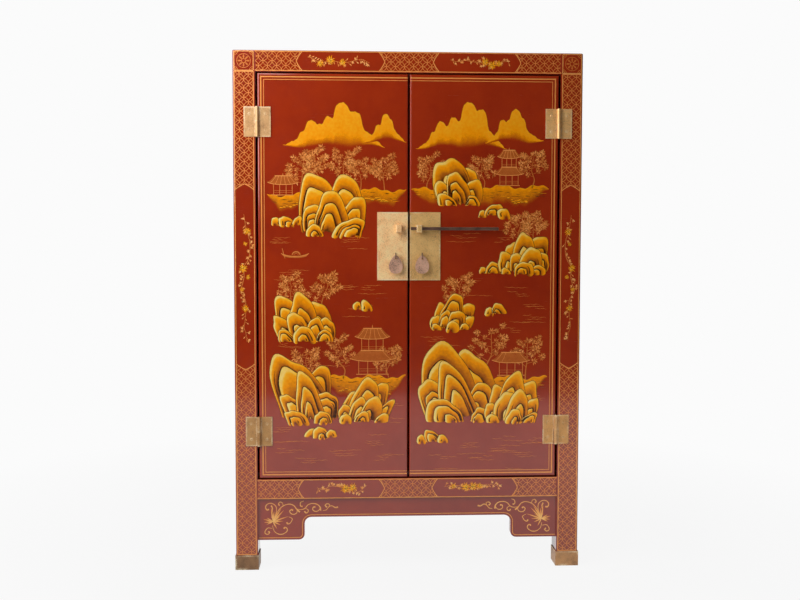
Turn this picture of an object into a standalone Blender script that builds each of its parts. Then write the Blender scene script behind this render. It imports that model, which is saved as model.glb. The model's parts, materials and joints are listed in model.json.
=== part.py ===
"""A tall two-door cupboard in red lacquer, with brass hinges, lock plates, a sliding lock pin and foot caps.

The front faces -Y and +X is to the right as seen from the front. The cupboard stands on z = 0, and the
origin is under the middle of everything, lock included. Lengths are in metres.
"""

import math

import bmesh
import bpy
from mathutils import Matrix, Vector

# Case
HEIGHT = 1.200
WIDTH = 0.804  # over the outer faces of the posts
DEPTH = 0.420  # over the outer faces of the posts
POST = 0.051  # side of a post's square section
TOP_RAIL_HEIGHT = 0.0485
BOTTOM_RAIL_HEIGHT = 0.0465
LEG_HEIGHT = 0.166  # floor to the underside of the bottom rails
RAIL_STEP = 0.012  # how far a rail's inner face lies outside the posts' inner faces
CASE_ROUND = 0.003  # rounding along the outermost edges
RAIL_ROUND = 0.0012  # rounding along the bottom rails' front edges
MUNTIN_WIDTH = 0.045

# Joinery
FIT = 0.0003  # gap between pieces that touch
JOIN_OVERLAP = 0.004  # how far a tenon's block reaches into its own rail before the two are joined
TENON_LENGTH = 0.020
TENON_THICKNESS = 0.010
TENON_HEIGHT = 0.015
TENON_INSET = 0.024  # outer face of the case to a tenon's middle
TENON_SPLIT = 0.003  # height between the tenons that enter a post from two sides
TONGUE = 0.008  # how far a panel reaches into its groove

# Panels and boards
PANEL = 0.010
PANEL_SETBACK = 0.007  # outer face of the case to a panel's outer face
TOP_PANEL = 0.014
TOP_TONGUE = 0.006  # thickness of the top panel's tongue
TOP_DROP = 0.001  # top of the rails to the top panel
BOTTOM_BOARD = 0.012
BOTTOM_BOARD_DROP = 0.010  # top of the rails to the bottom board
SHELF = 0.018
SHELF_LEVEL = 0.655  # top of the shelf
SHELF_PLAY = 0.001
SHELF_SETBACK = 0.006  # door battens to the shelf's front edge
BEARER_HEIGHT = 0.030
BEARER_LEDGE = 0.008  # how far a shelf bearer stands inside the posts' inner faces

# Aprons
APRON = 0.018
APRON_SETBACK = 0.006
APRON_HEIGHT = 0.044
APRON_TONGUE = 0.006
BRACKET_DROP = 0.0535  # how far the corner brackets hang below the apron
FRONT_BRACKET_WIDTH = 0.108
SIDE_BRACKET_WIDTH = 0.080
BRACKET_HOLLOW = 0.016  # radius of the inside corner above a bracket
BRACKET_ROUND = 0.013  # radius of a bracket's lower corner

# Foot caps
CAP_HEIGHT = 0.034
CAP_WALL = 0.0014
CAP_FLOOR = 0.002
CAP_ROUND = 0.0008

# Doors
DOOR = 0.022
DOOR_ROUND = 0.0035
DOOR_END_GAP = 0.003  # above and below a door
HINGE_GAP = 0.0045  # post to door
MEETING_GAP = 0.004  # door to door
BATTEN_WIDTH = 0.045
BATTEN = 0.016
BATTEN_HOUSED = 0.006  # how deep a batten is let into the door's back
BATTEN_END_INSET = 0.030
BATTEN_FROM_END = 0.170  # door's end to a batten's middle
STOP_HEIGHT = 0.012
STOP_DEPTH = 0.012

# Hinges
HINGE_HEIGHT = 0.068
HINGE_FROM_END = 0.1105  # door's end to a hinge's middle
LEAF_REACH = 0.0305  # hinge axis to a leaf's outer edge
LEAF = 0.0016
TAB_INSET = 0.0001  # leaf's faces to the tab between leaf and knuckle
BARREL_RADIUS = 0.0043
BARREL_CLEAR = 0.0006  # between the two knuckles, and from a barrel to the other leaf
HINGE_PIN_RADIUS = 0.0021
HINGE_PIN_END = 0.0008  # how far a hinge pin stands out of its barrel
NAIL_RADIUS = 0.0022
NAIL_RISE = 0.0010
NAIL_FROM_END = 0.016  # leaf's end to a nail
NAIL_FROM_AXIS = 0.018

# Lock plates, staples and lock pin
PLATE_WIDTH = 0.0705
PLATE_HEIGHT = 0.157
PLATE = 0.0016
PLATE_LEVEL = 0.755  # middle of a plate
PLATE_EDGE = 0.0005  # door's meeting edge to its plate
STAPLE_WIDTH = 0.0125
STAPLE_HEIGHT = 0.0175
STAPLE_REACH = 0.017
STAPLE_OFFSET = 0.0235  # middle of the cupboard to a staple's middle
STAPLE_ROUND = 0.0012
STAPLE_SHANK = 0.007  # side of the square shank through plate and door
SHANK_DEPTH = 0.015  # how far the shanks of staples and eyes go into a door
PIN_RADIUS = 0.0038
PIN_LENGTH = 0.203
PIN_LEVEL = 0.7955
PIN_STANDOFF = 0.0095  # lock plate to the pin's axis
PIN_PLAY = 0.0004
PIN_ROUND = 0.0012
PIN_DRAWN = 0.004  # middle of the cupboard to the drawn pin's left end

# Pulls and their eyes
PULL_OFFSET = 0.0305  # middle of the cupboard to a pull's middle
PULL_LEVEL = 0.733  # middle of an eye's ring
RING_RADIUS = 0.0065
RING_WIRE = 0.0011
RING_STANDOFF = 0.001  # lock plate to the ring
EYE_SHANK = 0.0016
PULL = 0.0036
PULL_WIDTH = 0.032
PULL_LENGTH = 0.042
PULL_HOLE = 0.0019
PULL_RIM = 0.006  # metal above the hole
PULL_ROUND = 0.0011
PULL_DROOP = 1.45  # above 1 the pull's widest level lies below its middle
PULL_FULLNESS = 0.4  # below a half the pull's top and bottom are blunter
PULL_STEPS = 26  # points down each side of a pull

# Places worked out from the sizes above
INNER = WIDTH / 2 - POST  # middle of the cupboard to a post's inner face
RAIL_DEPTH = POST - RAIL_STEP
PLATE_FRONT = -FIT - PLATE  # measured from the front of the case, as are the next two
STAPLE_BACK = PLATE_FRONT - FIT
STAPLE_FRONT = STAPLE_BACK - STAPLE_REACH
CAP_REACH = FIT + CAP_WALL
FRONT = -DEPTH / 2 - (STAPLE_FRONT + CAP_REACH) / 2
BACK = FRONT + DEPTH
BOTTOM_RAIL_TOP = LEG_HEIGHT + BOTTOM_RAIL_HEIGHT
TOP_RAIL_BASE = HEIGHT - TOP_RAIL_HEIGHT
DOOR_BASE = BOTTOM_RAIL_TOP + DOOR_END_GAP
DOOR_TOP = TOP_RAIL_BASE - DOOR_END_GAP
HINGE_X = INNER - HINGE_GAP  # the axis lies over the door's hinge edge
HINGE_Y = FRONT - FIT - BARREL_RADIUS
SIDES = {"left": -1, "right": 1}
ENDS = {"front": (-1, FRONT), "back": (1, BACK)}

for old in list(bpy.data.objects):
    bpy.data.objects.remove(old, do_unlink=True)

PARTS = bpy.data.collections.new("red_lacquer_cupboard")
CUTTERS = bpy.data.collections.new("cutters")
for collection in (PARTS, CUTTERS):
    bpy.context.scene.collection.children.link(collection)


def finish(name, colour, roughness, metallic=0.0):
    """A plain surface of one colour."""
    material = bpy.data.materials.new(name)
    material.use_nodes = True
    shader = material.node_tree.nodes["Principled BSDF"]
    shader.inputs["Base Color"].default_value = (*colour, 1.0)
    shader.inputs["Roughness"].default_value = roughness
    shader.inputs["Metallic"].default_value = metallic
    return material


LACQUER = finish("red_lacquer", (0.27, 0.035, 0.012), 0.25)
INSIDE = finish("inside_lacquer", (0.055, 0.018, 0.010), 0.45)
BRASS = finish("aged_brass", (0.62, 0.44, 0.22), 0.38, 1.0)
BRONZE = finish("dark_bronze", (0.11, 0.075, 0.065), 0.42, 1.0)


def box_form(size, rounded=(), radius=0.0):
    """A box about the origin. Each rounded edge is named by the signs of its middle point."""
    form = bmesh.new()
    bmesh.ops.create_cube(form, size=1.0)
    named = {}
    for edge in form.edges:
        middle = (edge.verts[0].co + edge.verts[1].co) / 2
        named[tuple(round(2 * value) for value in middle)] = edge
    bmesh.ops.scale(form, vec=size, verts=form.verts)
    if rounded:
        edges = [named[key] for key in rounded]
        bmesh.ops.bevel(form, geom=edges, offset=radius, segments=3, profile=0.5, affect="EDGES")
    return form


def rod_form(radius, length, axis, sides=24, rounded=0.0):
    """A rod about the origin along one of the axes, with its end rims rounded."""
    form = bmesh.new()
    bmesh.ops.create_cone(
        form, cap_ends=True, segments=sides, radius1=radius, radius2=radius, depth=length
    )
    if rounded:
        rims = [edge for edge in form.edges if abs(edge.verts[0].co.z - edge.verts[1].co.z) < length / 2]
        bmesh.ops.bevel(form, geom=rims, offset=rounded, segments=2, profile=0.5, affect="EDGES")
    turn = Vector((0, 0, 1)).rotation_difference(Vector(axis)).to_matrix()
    bmesh.ops.transform(form, matrix=turn.to_4x4(), verts=form.verts)
    return form


def place(name, form, middle, material, smooth=False):
    """Makes an object of a form. One with no material is a cutter."""
    mesh = bpy.data.meshes.new(name)
    form.to_mesh(mesh)
    form.free()
    piece = bpy.data.objects.new(name, mesh)
    piece.location = middle
    if material is None:
        hide(piece)
    else:
        mesh.materials.append(material)
        PARTS.objects.link(piece)
    if smooth:
        mesh.shade_smooth()
        mesh.set_sharp_from_angle(angle=math.radians(40))
    return piece


def hide(piece):
    """Puts a cutter among the cutters, drawn as wire and never rendered."""
    CUTTERS.objects.link(piece)
    piece.hide_render = True
    piece.display_type = "WIRE"


def block(name, low, high, material, rounded=(), radius=0.0):
    """A box between two corners."""
    low, high = Vector(low), Vector(high)
    return place(name, box_form(high - low, rounded, radius), (low + high) / 2, material)


def grown(name, low, high, gap=FIT):
    """A cutter for the room that a box between two corners needs."""
    gaps = Vector((gap, gap, gap))
    return block(name, Vector(low) - gaps, Vector(high) + gaps, None)


def boolean(piece, tool, operation):
    modifier = piece.modifiers.new(f"{operation.lower()} {tool.name}", "BOOLEAN")
    modifier.operation = operation
    modifier.solver = "EXACT"
    modifier.object = tool


def cut(pieces, tool):
    for piece in pieces:
        boolean(piece, tool, "DIFFERENCE")


def join(piece, tool):
    boolean(piece, tool, "UNION")


def carry(pieces, carrier):
    """Parents pieces to an empty without moving them."""
    for piece in pieces:
        piece.parent = carrier
        piece.matrix_parent_inverse = Matrix.Translation(-carrier.location)


def make_posts():
    """Four posts of square section, standing in their foot caps, with a room cutter round each."""
    posts, rooms = {}, {}
    for side, x_sign in SIDES.items():
        for end, (y_sign, face) in ENDS.items():
            corner = Vector((x_sign * WIDTH / 2, face, HEIGHT))
            inside = Vector((x_sign * INNER, face - y_sign * POST, CAP_FLOOR + FIT))
            low = Vector(map(min, corner, inside))
            high = Vector(map(max, corner, inside))
            outer_edges = ((x_sign, y_sign, 0), (x_sign, 0, 1), (0, y_sign, 1))
            name = f"{end}_{side}"
            posts[end, side] = block(f"post_{name}", low, high, LACQUER, outer_edges, CASE_ROUND)
            rooms[end, side] = grown(f"post_room_{name}", low, high)
    return posts, rooms


def make_foot_caps():
    """Brass caps, open at the top, that the posts stand in."""
    outside = POST + 2 * CAP_REACH
    corners = [(x, y, 0) for x in (-1, 1) for y in (-1, 1)]
    for side, x_sign in SIDES.items():
        for end, (y_sign, face) in ENDS.items():
            middle = Vector((x_sign * (WIDTH - POST) / 2, face - y_sign * POST / 2, CAP_HEIGHT / 2))
            form = box_form((outside, outside, CAP_HEIGHT), corners, CAP_ROUND)
            cap = place(f"foot_cap_{end}_{side}", form, middle, BRASS)
            hollow = place(
                f"foot_hollow_{end}_{side}",
                box_form((POST + 2 * FIT, POST + 2 * FIT, CAP_HEIGHT)),
                middle + Vector((0, 0, CAP_FLOOR)),
                None,
            )
            cut([cap], hollow)


def add_tenons(beam, receivers, axis, reach, middle, section, length):
    """Joins a tenon to each end of a beam and cuts its mortise. The section is across the axis."""
    for sign, receiver in zip((-1, 1), receivers):
        root = Vector(middle)
        root[axis] = sign * (reach - JOIN_OVERLAP) + middle[axis]
        tip = Vector(middle)
        tip[axis] = sign * (reach + length) + middle[axis]
        half = Vector(section) / 2
        half[axis] = 0
        low = Vector(map(min, root, tip)) - half
        high = Vector(map(max, root, tip)) + half
        end_name = f"{beam.name}_{'low' if sign < 0 else 'high'}"
        join(beam, block(f"tenon_{end_name}", low, high, None))
        cut([receiver], grown(f"mortise_{end_name}", low, high))


def make_cross_rails(posts):
    """Top and bottom rails of the front and the back, between left and right posts."""
    rails = {}
    levels = {"top": (TOP_RAIL_BASE, HEIGHT), "bottom": (LEG_HEIGHT, BOTTOM_RAIL_TOP)}
    for end, (y_sign, face) in ENDS.items():
        for level, (base, top) in levels.items():
            inside = face - y_sign * RAIL_DEPTH
            low = (-INNER + FIT, min(face, inside), base)
            high = (INNER - FIT, max(face, inside), top)
            if level == "top":
                edges, radius = ((0, y_sign, 1),), CASE_ROUND
            else:
                edges, radius = ((0, y_sign, 1), (0, y_sign, -1)), RAIL_ROUND
            rail = block(f"{level}_rail_{end}", low, high, LACQUER, edges, radius)
            tenon_level = (base + top + TENON_HEIGHT + TENON_SPLIT) / 2
            add_tenons(
                rail,
                (posts[end, "left"], posts[end, "right"]),
                axis=0,
                reach=INNER - FIT,
                middle=(0, face - y_sign * TENON_INSET, tenon_level),
                section=(0, TENON_THICKNESS, TENON_HEIGHT),
                length=TENON_LENGTH,
            )
            rails[level, end] = rail
    return rails


def make_side_rails(posts):
    """Top and bottom rails of the two sides, between front and back posts."""
    rails = {}
    levels = {"top": (TOP_RAIL_BASE, HEIGHT), "bottom": (LEG_HEIGHT, BOTTOM_RAIL_TOP)}
    for side, x_sign in SIDES.items():
        for level, (base, top) in levels.items():
            outer, inside = x_sign * WIDTH / 2, x_sign * (WIDTH / 2 - RAIL_DEPTH)
            low = (min(outer, inside), FRONT + POST + FIT, base)
            high = (max(outer, inside), BACK - POST - FIT, top)
            if level == "top":
                edges, radius = ((x_sign, 0, 1),), CASE_ROUND
            else:
                edges, radius = ((x_sign, 0, 1), (x_sign, 0, -1)), RAIL_ROUND
            rail = block(f"{level}_rail_{side}", low, high, LACQUER, edges, radius)
            tenon_level = (base + top - TENON_HEIGHT - TENON_SPLIT) / 2
            side_tenons(rail, posts, side, tenon_level)
            rails[level, side] = rail
    return rails


def side_tenons(beam, posts, side, level):
    """Tenons of a beam that runs from front to back along one side."""
    add_tenons(
        beam,
        (posts["front", side], posts["back", side]),
        axis=1,
        reach=DEPTH / 2 - POST - FIT,
        middle=(SIDES[side] * (WIDTH / 2 - TENON_INSET), (FRONT + BACK) / 2, level),
        section=(TENON_THICKNESS, 0, TENON_HEIGHT),
        length=TENON_LENGTH,
    )


def make_back_muntin(rails):
    """The upright between the two back panels, tenoned into the back rails."""
    base, top = BOTTOM_RAIL_TOP + FIT, TOP_RAIL_BASE - FIT
    muntin = block(
        "back_muntin",
        (-MUNTIN_WIDTH / 2, BACK - RAIL_DEPTH, base),
        (MUNTIN_WIDTH / 2, BACK, top),
        LACQUER,
    )
    add_tenons(
        muntin,
        (rails["bottom", "back"], rails["top", "back"]),
        axis=2,
        reach=(top - base) / 2,
        middle=(0, BACK - TENON_INSET, (base + top) / 2),
        section=(TENON_HEIGHT, TENON_THICKNESS, 0),
        length=TENON_LENGTH,
    )
    return muntin


def panel(name, low, high, receivers):
    """A thin panel held in grooves. Its corners reach to the bottoms of the grooves."""
    board = block(name, low, high, LACQUER)
    cut(receivers, grown(f"groove_{name}", low, high))
    return board


def make_side_panels(posts, rails):
    for side, x_sign in SIDES.items():
        outer = x_sign * (WIDTH / 2 - PANEL_SETBACK)
        inside = outer - x_sign * PANEL
        panel(
            f"side_panel_{side}",
            (min(outer, inside), FRONT + POST - TONGUE, BOTTOM_RAIL_TOP - TONGUE),
            (max(outer, inside), BACK - POST + TONGUE, TOP_RAIL_BASE + TONGUE),
            (posts["front", side], posts["back", side], rails["top", side], rails["bottom", side]),
        )


def make_back_panels(posts, rails, muntin):
    for side, x_sign in SIDES.items():
        outer = x_sign * (INNER + TONGUE)
        inside = x_sign * (MUNTIN_WIDTH / 2 - TONGUE)
        panel(
            f"back_panel_{side}",
            (min(outer, inside), BACK - PANEL_SETBACK - PANEL, BOTTOM_RAIL_TOP - TONGUE),
            (max(outer, inside), BACK - PANEL_SETBACK, TOP_RAIL_BASE + TONGUE),
            (posts["back", side], muntin, rails["top", "back"], rails["bottom", "back"]),
        )


def make_top_panel(rails, rooms):
    """A flush panel whose lower half is a tongue in the rails' grooves, notched round the posts."""
    top = HEIGHT - TOP_DROP
    base = top - TOP_PANEL
    across, along = WIDTH / 2 - RAIL_DEPTH + TONGUE, DEPTH / 2 - RAIL_DEPTH + TONGUE
    centre_y = (FRONT + BACK) / 2
    low = (-across, centre_y - along, base)
    high = (across, centre_y + along, base + TOP_TONGUE)
    board = block("top_panel", low, high, LACQUER)
    edge = TONGUE + FIT
    field = block(
        "top_field",
        (-across + edge, centre_y - along + edge, base + TOP_TONGUE / 2),
        (across - edge, centre_y + along - edge, top),
        None,
    )
    join(board, field)
    for room in rooms.values():
        cut([board], room)
    receivers = [rails["top", key] for key in ("front", "back", "left", "right")]
    cut(receivers, grown("groove_top_panel", low, high))


def make_bottom_board(rails, rooms):
    """The floor of the cupboard, in grooves all round and notched round the posts."""
    top = BOTTOM_RAIL_TOP - BOTTOM_BOARD_DROP
    across, along = WIDTH / 2 - RAIL_DEPTH + TONGUE, DEPTH / 2 - RAIL_DEPTH + TONGUE
    centre_y = (FRONT + BACK) / 2
    low = (-across, centre_y - along, top - BOTTOM_BOARD)
    high = (across, centre_y + along, top)
    board = block("bottom_board", low, high, INSIDE)
    for room in rooms.values():
        cut([board], room)
    receivers = [rails["bottom", key] for key in ("front", "back", "left", "right")]
    cut(receivers, grown("groove_bottom_board", low, high))


def make_shelf(posts, rooms):
    """One shelf, notched round the posts, on a bearer at each side that is tenoned into the posts."""
    reach = WIDTH / 2 - PANEL_SETBACK - PANEL
    low = (-reach + SHELF_PLAY, FRONT + DOOR + BATTEN - BATTEN_HOUSED + SHELF_SETBACK, SHELF_LEVEL - SHELF)
    high = (reach - SHELF_PLAY, BACK - RAIL_DEPTH - FIT, SHELF_LEVEL)
    board = block("shelf", low, high, INSIDE)
    for room in rooms.values():
        cut([board], room)
    top = SHELF_LEVEL - SHELF - FIT
    for side, x_sign in SIDES.items():
        outer, inside = x_sign * (reach - FIT), x_sign * (INNER - BEARER_LEDGE)
        bearer = block(
            f"shelf_bearer_{side}",
            (min(outer, inside), FRONT + POST + FIT, top - BEARER_HEIGHT),
            (max(outer, inside), BACK - POST - FIT, top),
            INSIDE,
        )
        side_tenons(bearer, posts, side, top - BEARER_HEIGHT / 2)


def arc(middle, radius, start, end, steps=6):
    """Points along an arc, with its angles in degrees."""
    points = []
    for step in range(steps + 1):
        angle = math.radians(start + (end - start) * step / steps)
        points.append((middle[0] + radius * math.cos(angle), middle[1] + radius * math.sin(angle)))
    return points


def circle(middle, radius, sides=24):
    """Points round a whole circle."""
    return arc(middle, radius, 0, 360, sides)[:-1]


def flat_outline(name, outlines, thickness):
    """A 2D curve of closed outlines, filled and given a thickness."""
    curve = bpy.data.curves.new(name, "CURVE")
    curve.dimensions = "2D"
    curve.fill_mode = "BOTH"
    curve.extrude = thickness / 2
    for outline in outlines:
        spline = curve.splines.new("POLY")
        spline.points.add(len(outline) - 1)
        for point, (x, y) in zip(spline.points, outline):
            point.co = (x, y, 0, 1)
        spline.use_cyclic_u = True
    return bpy.data.objects.new(name, curve)


def solid_of(outline, material):
    """Turns an outline's evaluated form into a mesh object of the same name and place."""
    CUTTERS.objects.link(outline)
    bpy.context.view_layer.update()
    evaluated = outline.evaluated_get(bpy.context.evaluated_depsgraph_get())
    mesh = bpy.data.meshes.new_from_object(evaluated)
    name, matrix = outline.name, outline.matrix_world.copy()
    bpy.data.objects.remove(outline, do_unlink=True)
    form = bmesh.new()
    form.from_mesh(mesh)
    bmesh.ops.remove_doubles(form, verts=form.verts, dist=FIT / 10)
    form.to_mesh(mesh)
    form.free()
    mesh.materials.clear()
    mesh.materials.append(material)
    piece = bpy.data.objects.new(name, mesh)
    piece.matrix_world = matrix
    PARTS.objects.link(piece)
    return piece


def apron_outline(half, bracket_width):
    """The outline of an apron about its top edge's middle, with a rounded bracket hanging at each end."""
    inner = half - bracket_width
    low = -APRON_HEIGHT - BRACKET_DROP
    lobe = (inner + BRACKET_ROUND, low + BRACKET_ROUND)
    hollow = (inner - BRACKET_HOLLOW, -APRON_HEIGHT - BRACKET_HOLLOW)
    end = half + APRON_TONGUE
    right = [(end, 0), (end, low)]
    right += arc(lobe, BRACKET_ROUND, 270, 180)
    right += arc(hollow, BRACKET_HOLLOW, 0, 90)
    return right + [(-x, z) for x, z in reversed(right)]


def make_aprons(posts):
    """Aprons of the front and the sides, under the bottom rails and let into the posts."""
    top = LEG_HEIGHT - FIT
    low = top - APRON_HEIGHT - BRACKET_DROP
    middle_y = FRONT + APRON_SETBACK + APRON / 2
    front = flat_outline("apron_front", [apron_outline(INNER - FIT, FRONT_BRACKET_WIDTH)], APRON)
    front.location = (0, middle_y, top)
    front.rotation_euler = (math.radians(90), 0, 0)
    solid_of(front, LACQUER)
    for side, x_sign in SIDES.items():
        end = x_sign * (INNER - FIT)
        tip = x_sign * (INNER - FIT + APRON_TONGUE)
        slot = grown(
            f"apron_slot_front_{side}",
            (min(end, tip), middle_y - APRON / 2, low),
            (max(end, tip), middle_y + APRON / 2, top),
        )
        cut([posts["front", side]], slot)
    half = DEPTH / 2 - POST - FIT
    centre_y = (FRONT + BACK) / 2
    for side, x_sign in SIDES.items():
        middle_x = x_sign * (WIDTH / 2 - APRON_SETBACK - APRON / 2)
        apron = flat_outline(f"apron_{side}", [apron_outline(half, SIDE_BRACKET_WIDTH)], APRON)
        apron.location = (middle_x, centre_y, top)
        apron.rotation_euler = (math.radians(90), 0, math.radians(90))
        solid_of(apron, LACQUER)
        for end, (y_sign, _) in ENDS.items():
            root = centre_y + y_sign * half
            tip = centre_y + y_sign * (half + APRON_TONGUE)
            slot = grown(
                f"apron_slot_{end}_{side}",
                (middle_x - APRON / 2, min(root, tip), low),
                (middle_x + APRON / 2, max(root, tip), top),
            )
            cut([posts[end, side]], slot)


def make_door_stops():
    """Strips behind the doors' upper and lower edges that the closed doors come up against."""
    near = FRONT + DOOR + FIT
    levels = {"top": TOP_RAIL_BASE - FIT - STOP_HEIGHT, "bottom": BOTTOM_RAIL_TOP + FIT}
    for level, base in levels.items():
        block(
            f"door_stop_{level}",
            (-INNER + FIT, near, base),
            (INNER - FIT, near + STOP_DEPTH, base + STOP_HEIGHT),
            INSIDE,
        )


def make_door(side, axis):
    """A door board with rounded front edges and two battens let into its back."""
    x_sign = SIDES[side]
    outer, inner = x_sign * (INNER - HINGE_GAP), x_sign * MEETING_GAP / 2
    low = (min(outer, inner), FRONT, DOOR_BASE)
    high = (max(outer, inner), FRONT + DOOR, DOOR_TOP)
    front_edges = ((-1, -1, 0), (1, -1, 0), (0, -1, -1), (0, -1, 1))
    door = block(f"door_{side}", low, high, LACQUER, front_edges, DOOR_ROUND)
    pieces = [door]
    levels = {"upper": DOOR_TOP - BATTEN_FROM_END, "lower": DOOR_BASE + BATTEN_FROM_END}
    for level, middle in levels.items():
        near = FRONT + DOOR - BATTEN_HOUSED
        batten_low = (low[0] + BATTEN_END_INSET, near, middle - BATTEN_WIDTH / 2)
        batten_high = (high[0] - BATTEN_END_INSET, near + BATTEN, middle + BATTEN_WIDTH / 2)
        name = f"door_batten_{side}_{level}"
        pieces.append(block(name, batten_low, batten_high, INSIDE))
        cut([door], grown(f"housing_{name}", batten_low, batten_high))
    carry(pieces, axis)
    return door


def make_hinge(side, level, middle, axis):
    """A butt hinge on the face of post and door: two nailed leaves with one knuckle each, and a pin."""
    x_sign = SIDES[side]
    axis_x = x_sign * HINGE_X
    leaf_back = FRONT - FIT
    spans = {"post": (middle - HINGE_HEIGHT / 2, middle - BARREL_CLEAR / 2, x_sign)}
    spans["door"] = (middle + BARREL_CLEAR / 2, middle + HINGE_HEIGHT / 2, -x_sign)
    bore_radius = HINGE_PIN_RADIUS + FIT
    for holder, (base, top, away) in spans.items():
        name = f"hinge_leaf_{holder}_{side}_{level}"
        near, far = axis_x + away * (BARREL_RADIUS + BARREL_CLEAR), axis_x + away * LEAF_REACH
        leaf = block(
            name,
            (min(near, far), leaf_back - LEAF, middle - HINGE_HEIGHT / 2),
            (max(near, far), leaf_back, middle + HINGE_HEIGHT / 2),
            BRASS,
        )
        inward = near + away * JOIN_OVERLAP
        tab = block(
            f"tab_{name}",
            (min(axis_x, inward), leaf_back - LEAF + TAB_INSET, base + FIT),
            (max(axis_x, inward), leaf_back - TAB_INSET, top - FIT),
            None,
        )
        knuckle_middle = (axis_x, HINGE_Y, (base + top) / 2)
        knuckle_form = rod_form(BARREL_RADIUS, top - base, (0, 0, 1))
        knuckle = place(f"knuckle_{name}", knuckle_form, knuckle_middle, None)
        bore_form = rod_form(bore_radius, 2 * HINGE_HEIGHT, (0, 0, 1))
        bore = place(f"bore_{name}", bore_form, knuckle_middle, None)
        join(knuckle, tab)
        join(leaf, knuckle)
        cut([leaf], bore)
        for nail_sign in (-1, 1):
            nail_level = middle + nail_sign * (HINGE_HEIGHT / 2 - NAIL_FROM_END)
            nail = bmesh.new()
            bmesh.ops.create_uvsphere(nail, u_segments=12, v_segments=8, radius=NAIL_RADIUS)
            bmesh.ops.scale(nail, vec=(1, NAIL_RISE / NAIL_RADIUS, 1), verts=nail.verts)
            nail_middle = (axis_x + away * NAIL_FROM_AXIS, leaf_back - LEAF, nail_level)
            join(leaf, place(f"nail_{name}_{nail_sign}", nail, nail_middle, None))
        if holder == "door":
            carry([leaf], axis)
    pin_length = HINGE_HEIGHT + 2 * HINGE_PIN_END
    pin_form = rod_form(HINGE_PIN_RADIUS, pin_length, (0, 0, 1), rounded=HINGE_PIN_END)
    place(f"hinge_pin_{side}_{level}", pin_form, (axis_x, HINGE_Y, middle), BRASS, smooth=True)


def make_lock_plate(side, axis):
    """A lock plate at the door's meeting edge."""
    x_sign = SIDES[side]
    inner = x_sign * (MEETING_GAP / 2 + PLATE_EDGE)
    outer = inner + x_sign * PLATE_WIDTH
    plate = block(
        f"lock_plate_{side}",
        (min(inner, outer), FRONT + PLATE_FRONT, PLATE_LEVEL - PLATE_HEIGHT / 2),
        (max(inner, outer), FRONT - FIT, PLATE_LEVEL + PLATE_HEIGHT / 2),
        BRASS,
    )
    carry([plate], axis)
    return plate


def make_staple(side, door, plate, axis):
    """A block with a square hole for the lock pin, on a shank through the plate into the door."""
    x = SIDES[side] * STAPLE_OFFSET
    half = Vector((STAPLE_WIDTH, 0, STAPLE_HEIGHT)) / 2
    middle = Vector((x, 0, PIN_LEVEL))
    front_edges = ((-1, -1, 0), (1, -1, 0), (0, -1, -1), (0, -1, 1))
    staple = block(
        f"lock_staple_{side}",
        middle - half + Vector((0, FRONT + STAPLE_FRONT, 0)),
        middle + half + Vector((0, FRONT + STAPLE_BACK, 0)),
        BRASS,
        front_edges,
        STAPLE_ROUND,
    )
    side_half = Vector((STAPLE_SHANK, 0, STAPLE_SHANK)) / 2
    shank_low = middle - side_half + Vector((0, FRONT + STAPLE_BACK - JOIN_OVERLAP, 0))
    shank_high = middle + side_half + Vector((0, FRONT + SHANK_DEPTH, 0))
    join(staple, block(f"shank_staple_{side}", shank_low, shank_high, None))
    hole_side = 2 * (PIN_RADIUS + PIN_PLAY)
    hole_middle = (x, FRONT + PLATE_FRONT - PIN_STANDOFF, PIN_LEVEL)
    hole_form = box_form((2 * STAPLE_WIDTH, hole_side, hole_side))
    cut([staple], place(f"hole_staple_{side}", hole_form, hole_middle, None))
    cut([plate, door], grown(f"room_staple_{side}", shank_low, shank_high))
    carry([staple], axis)


def make_lock_pin():
    """The round pin of the lock, drawn to the right until it clears the left door."""
    middle = (PIN_DRAWN + PIN_LENGTH / 2, FRONT + PLATE_FRONT - PIN_STANDOFF, PIN_LEVEL)
    form = rod_form(PIN_RADIUS, PIN_LENGTH, (1, 0, 0), rounded=PIN_ROUND)
    place("lock_pin", form, middle, BRONZE, smooth=True)


def make_pull_eye(side, door, plate, axis):
    """A wire ring on a shank through the plate into the door. Returns the middle of the ring."""
    ring_reach = RING_RADIUS + RING_WIRE
    middle = Vector(
        (SIDES[side] * PULL_OFFSET, FRONT + PLATE_FRONT - RING_STANDOFF - ring_reach, PULL_LEVEL)
    )
    bpy.ops.mesh.primitive_torus_add(
        major_radius=RING_RADIUS, minor_radius=RING_WIRE, major_segments=28, minor_segments=10
    )
    ring = bpy.context.object
    for collection in list(ring.users_collection):
        collection.objects.unlink(ring)
    PARTS.objects.link(ring)
    ring.name = f"pull_eye_{side}"
    ring.data.transform(Matrix.Rotation(math.radians(90), 4, "Y"))
    ring.data.materials.append(BRASS)
    ring.location = middle
    shank_start = middle.y + RING_RADIUS
    shank_end = FRONT + SHANK_DEPTH
    shank_middle = (middle.x, (shank_start + shank_end) / 2, middle.z)
    length = shank_end - shank_start
    shank = place(f"shank_eye_{side}", rod_form(EYE_SHANK, length, (0, 1, 0), sides=12), shank_middle, None)
    join(ring, shank)
    room = place(
        f"room_eye_{side}",
        rod_form(EYE_SHANK + FIT, length + 2 * FIT, (0, 1, 0), sides=12),
        shank_middle,
        None,
    )
    cut([plate, door], room)
    carry([ring], axis)
    return middle


def pull_outline(top):
    """An egg outline, widest below its middle, that starts at the given level under the ring's middle."""
    right = []
    for step in range(1, PULL_STEPS):
        share = (1 - math.cos(math.pi * step / PULL_STEPS)) / 2
        half_width = PULL_WIDTH / 2 * math.sin(math.pi * share**PULL_DROOP) ** PULL_FULLNESS
        right.append((half_width, top - share * PULL_LENGTH))
    left = [(-x, z) for x, z in reversed(right)]
    return right + [(0, top - PULL_LENGTH)] + left + [(0, top)]


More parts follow.
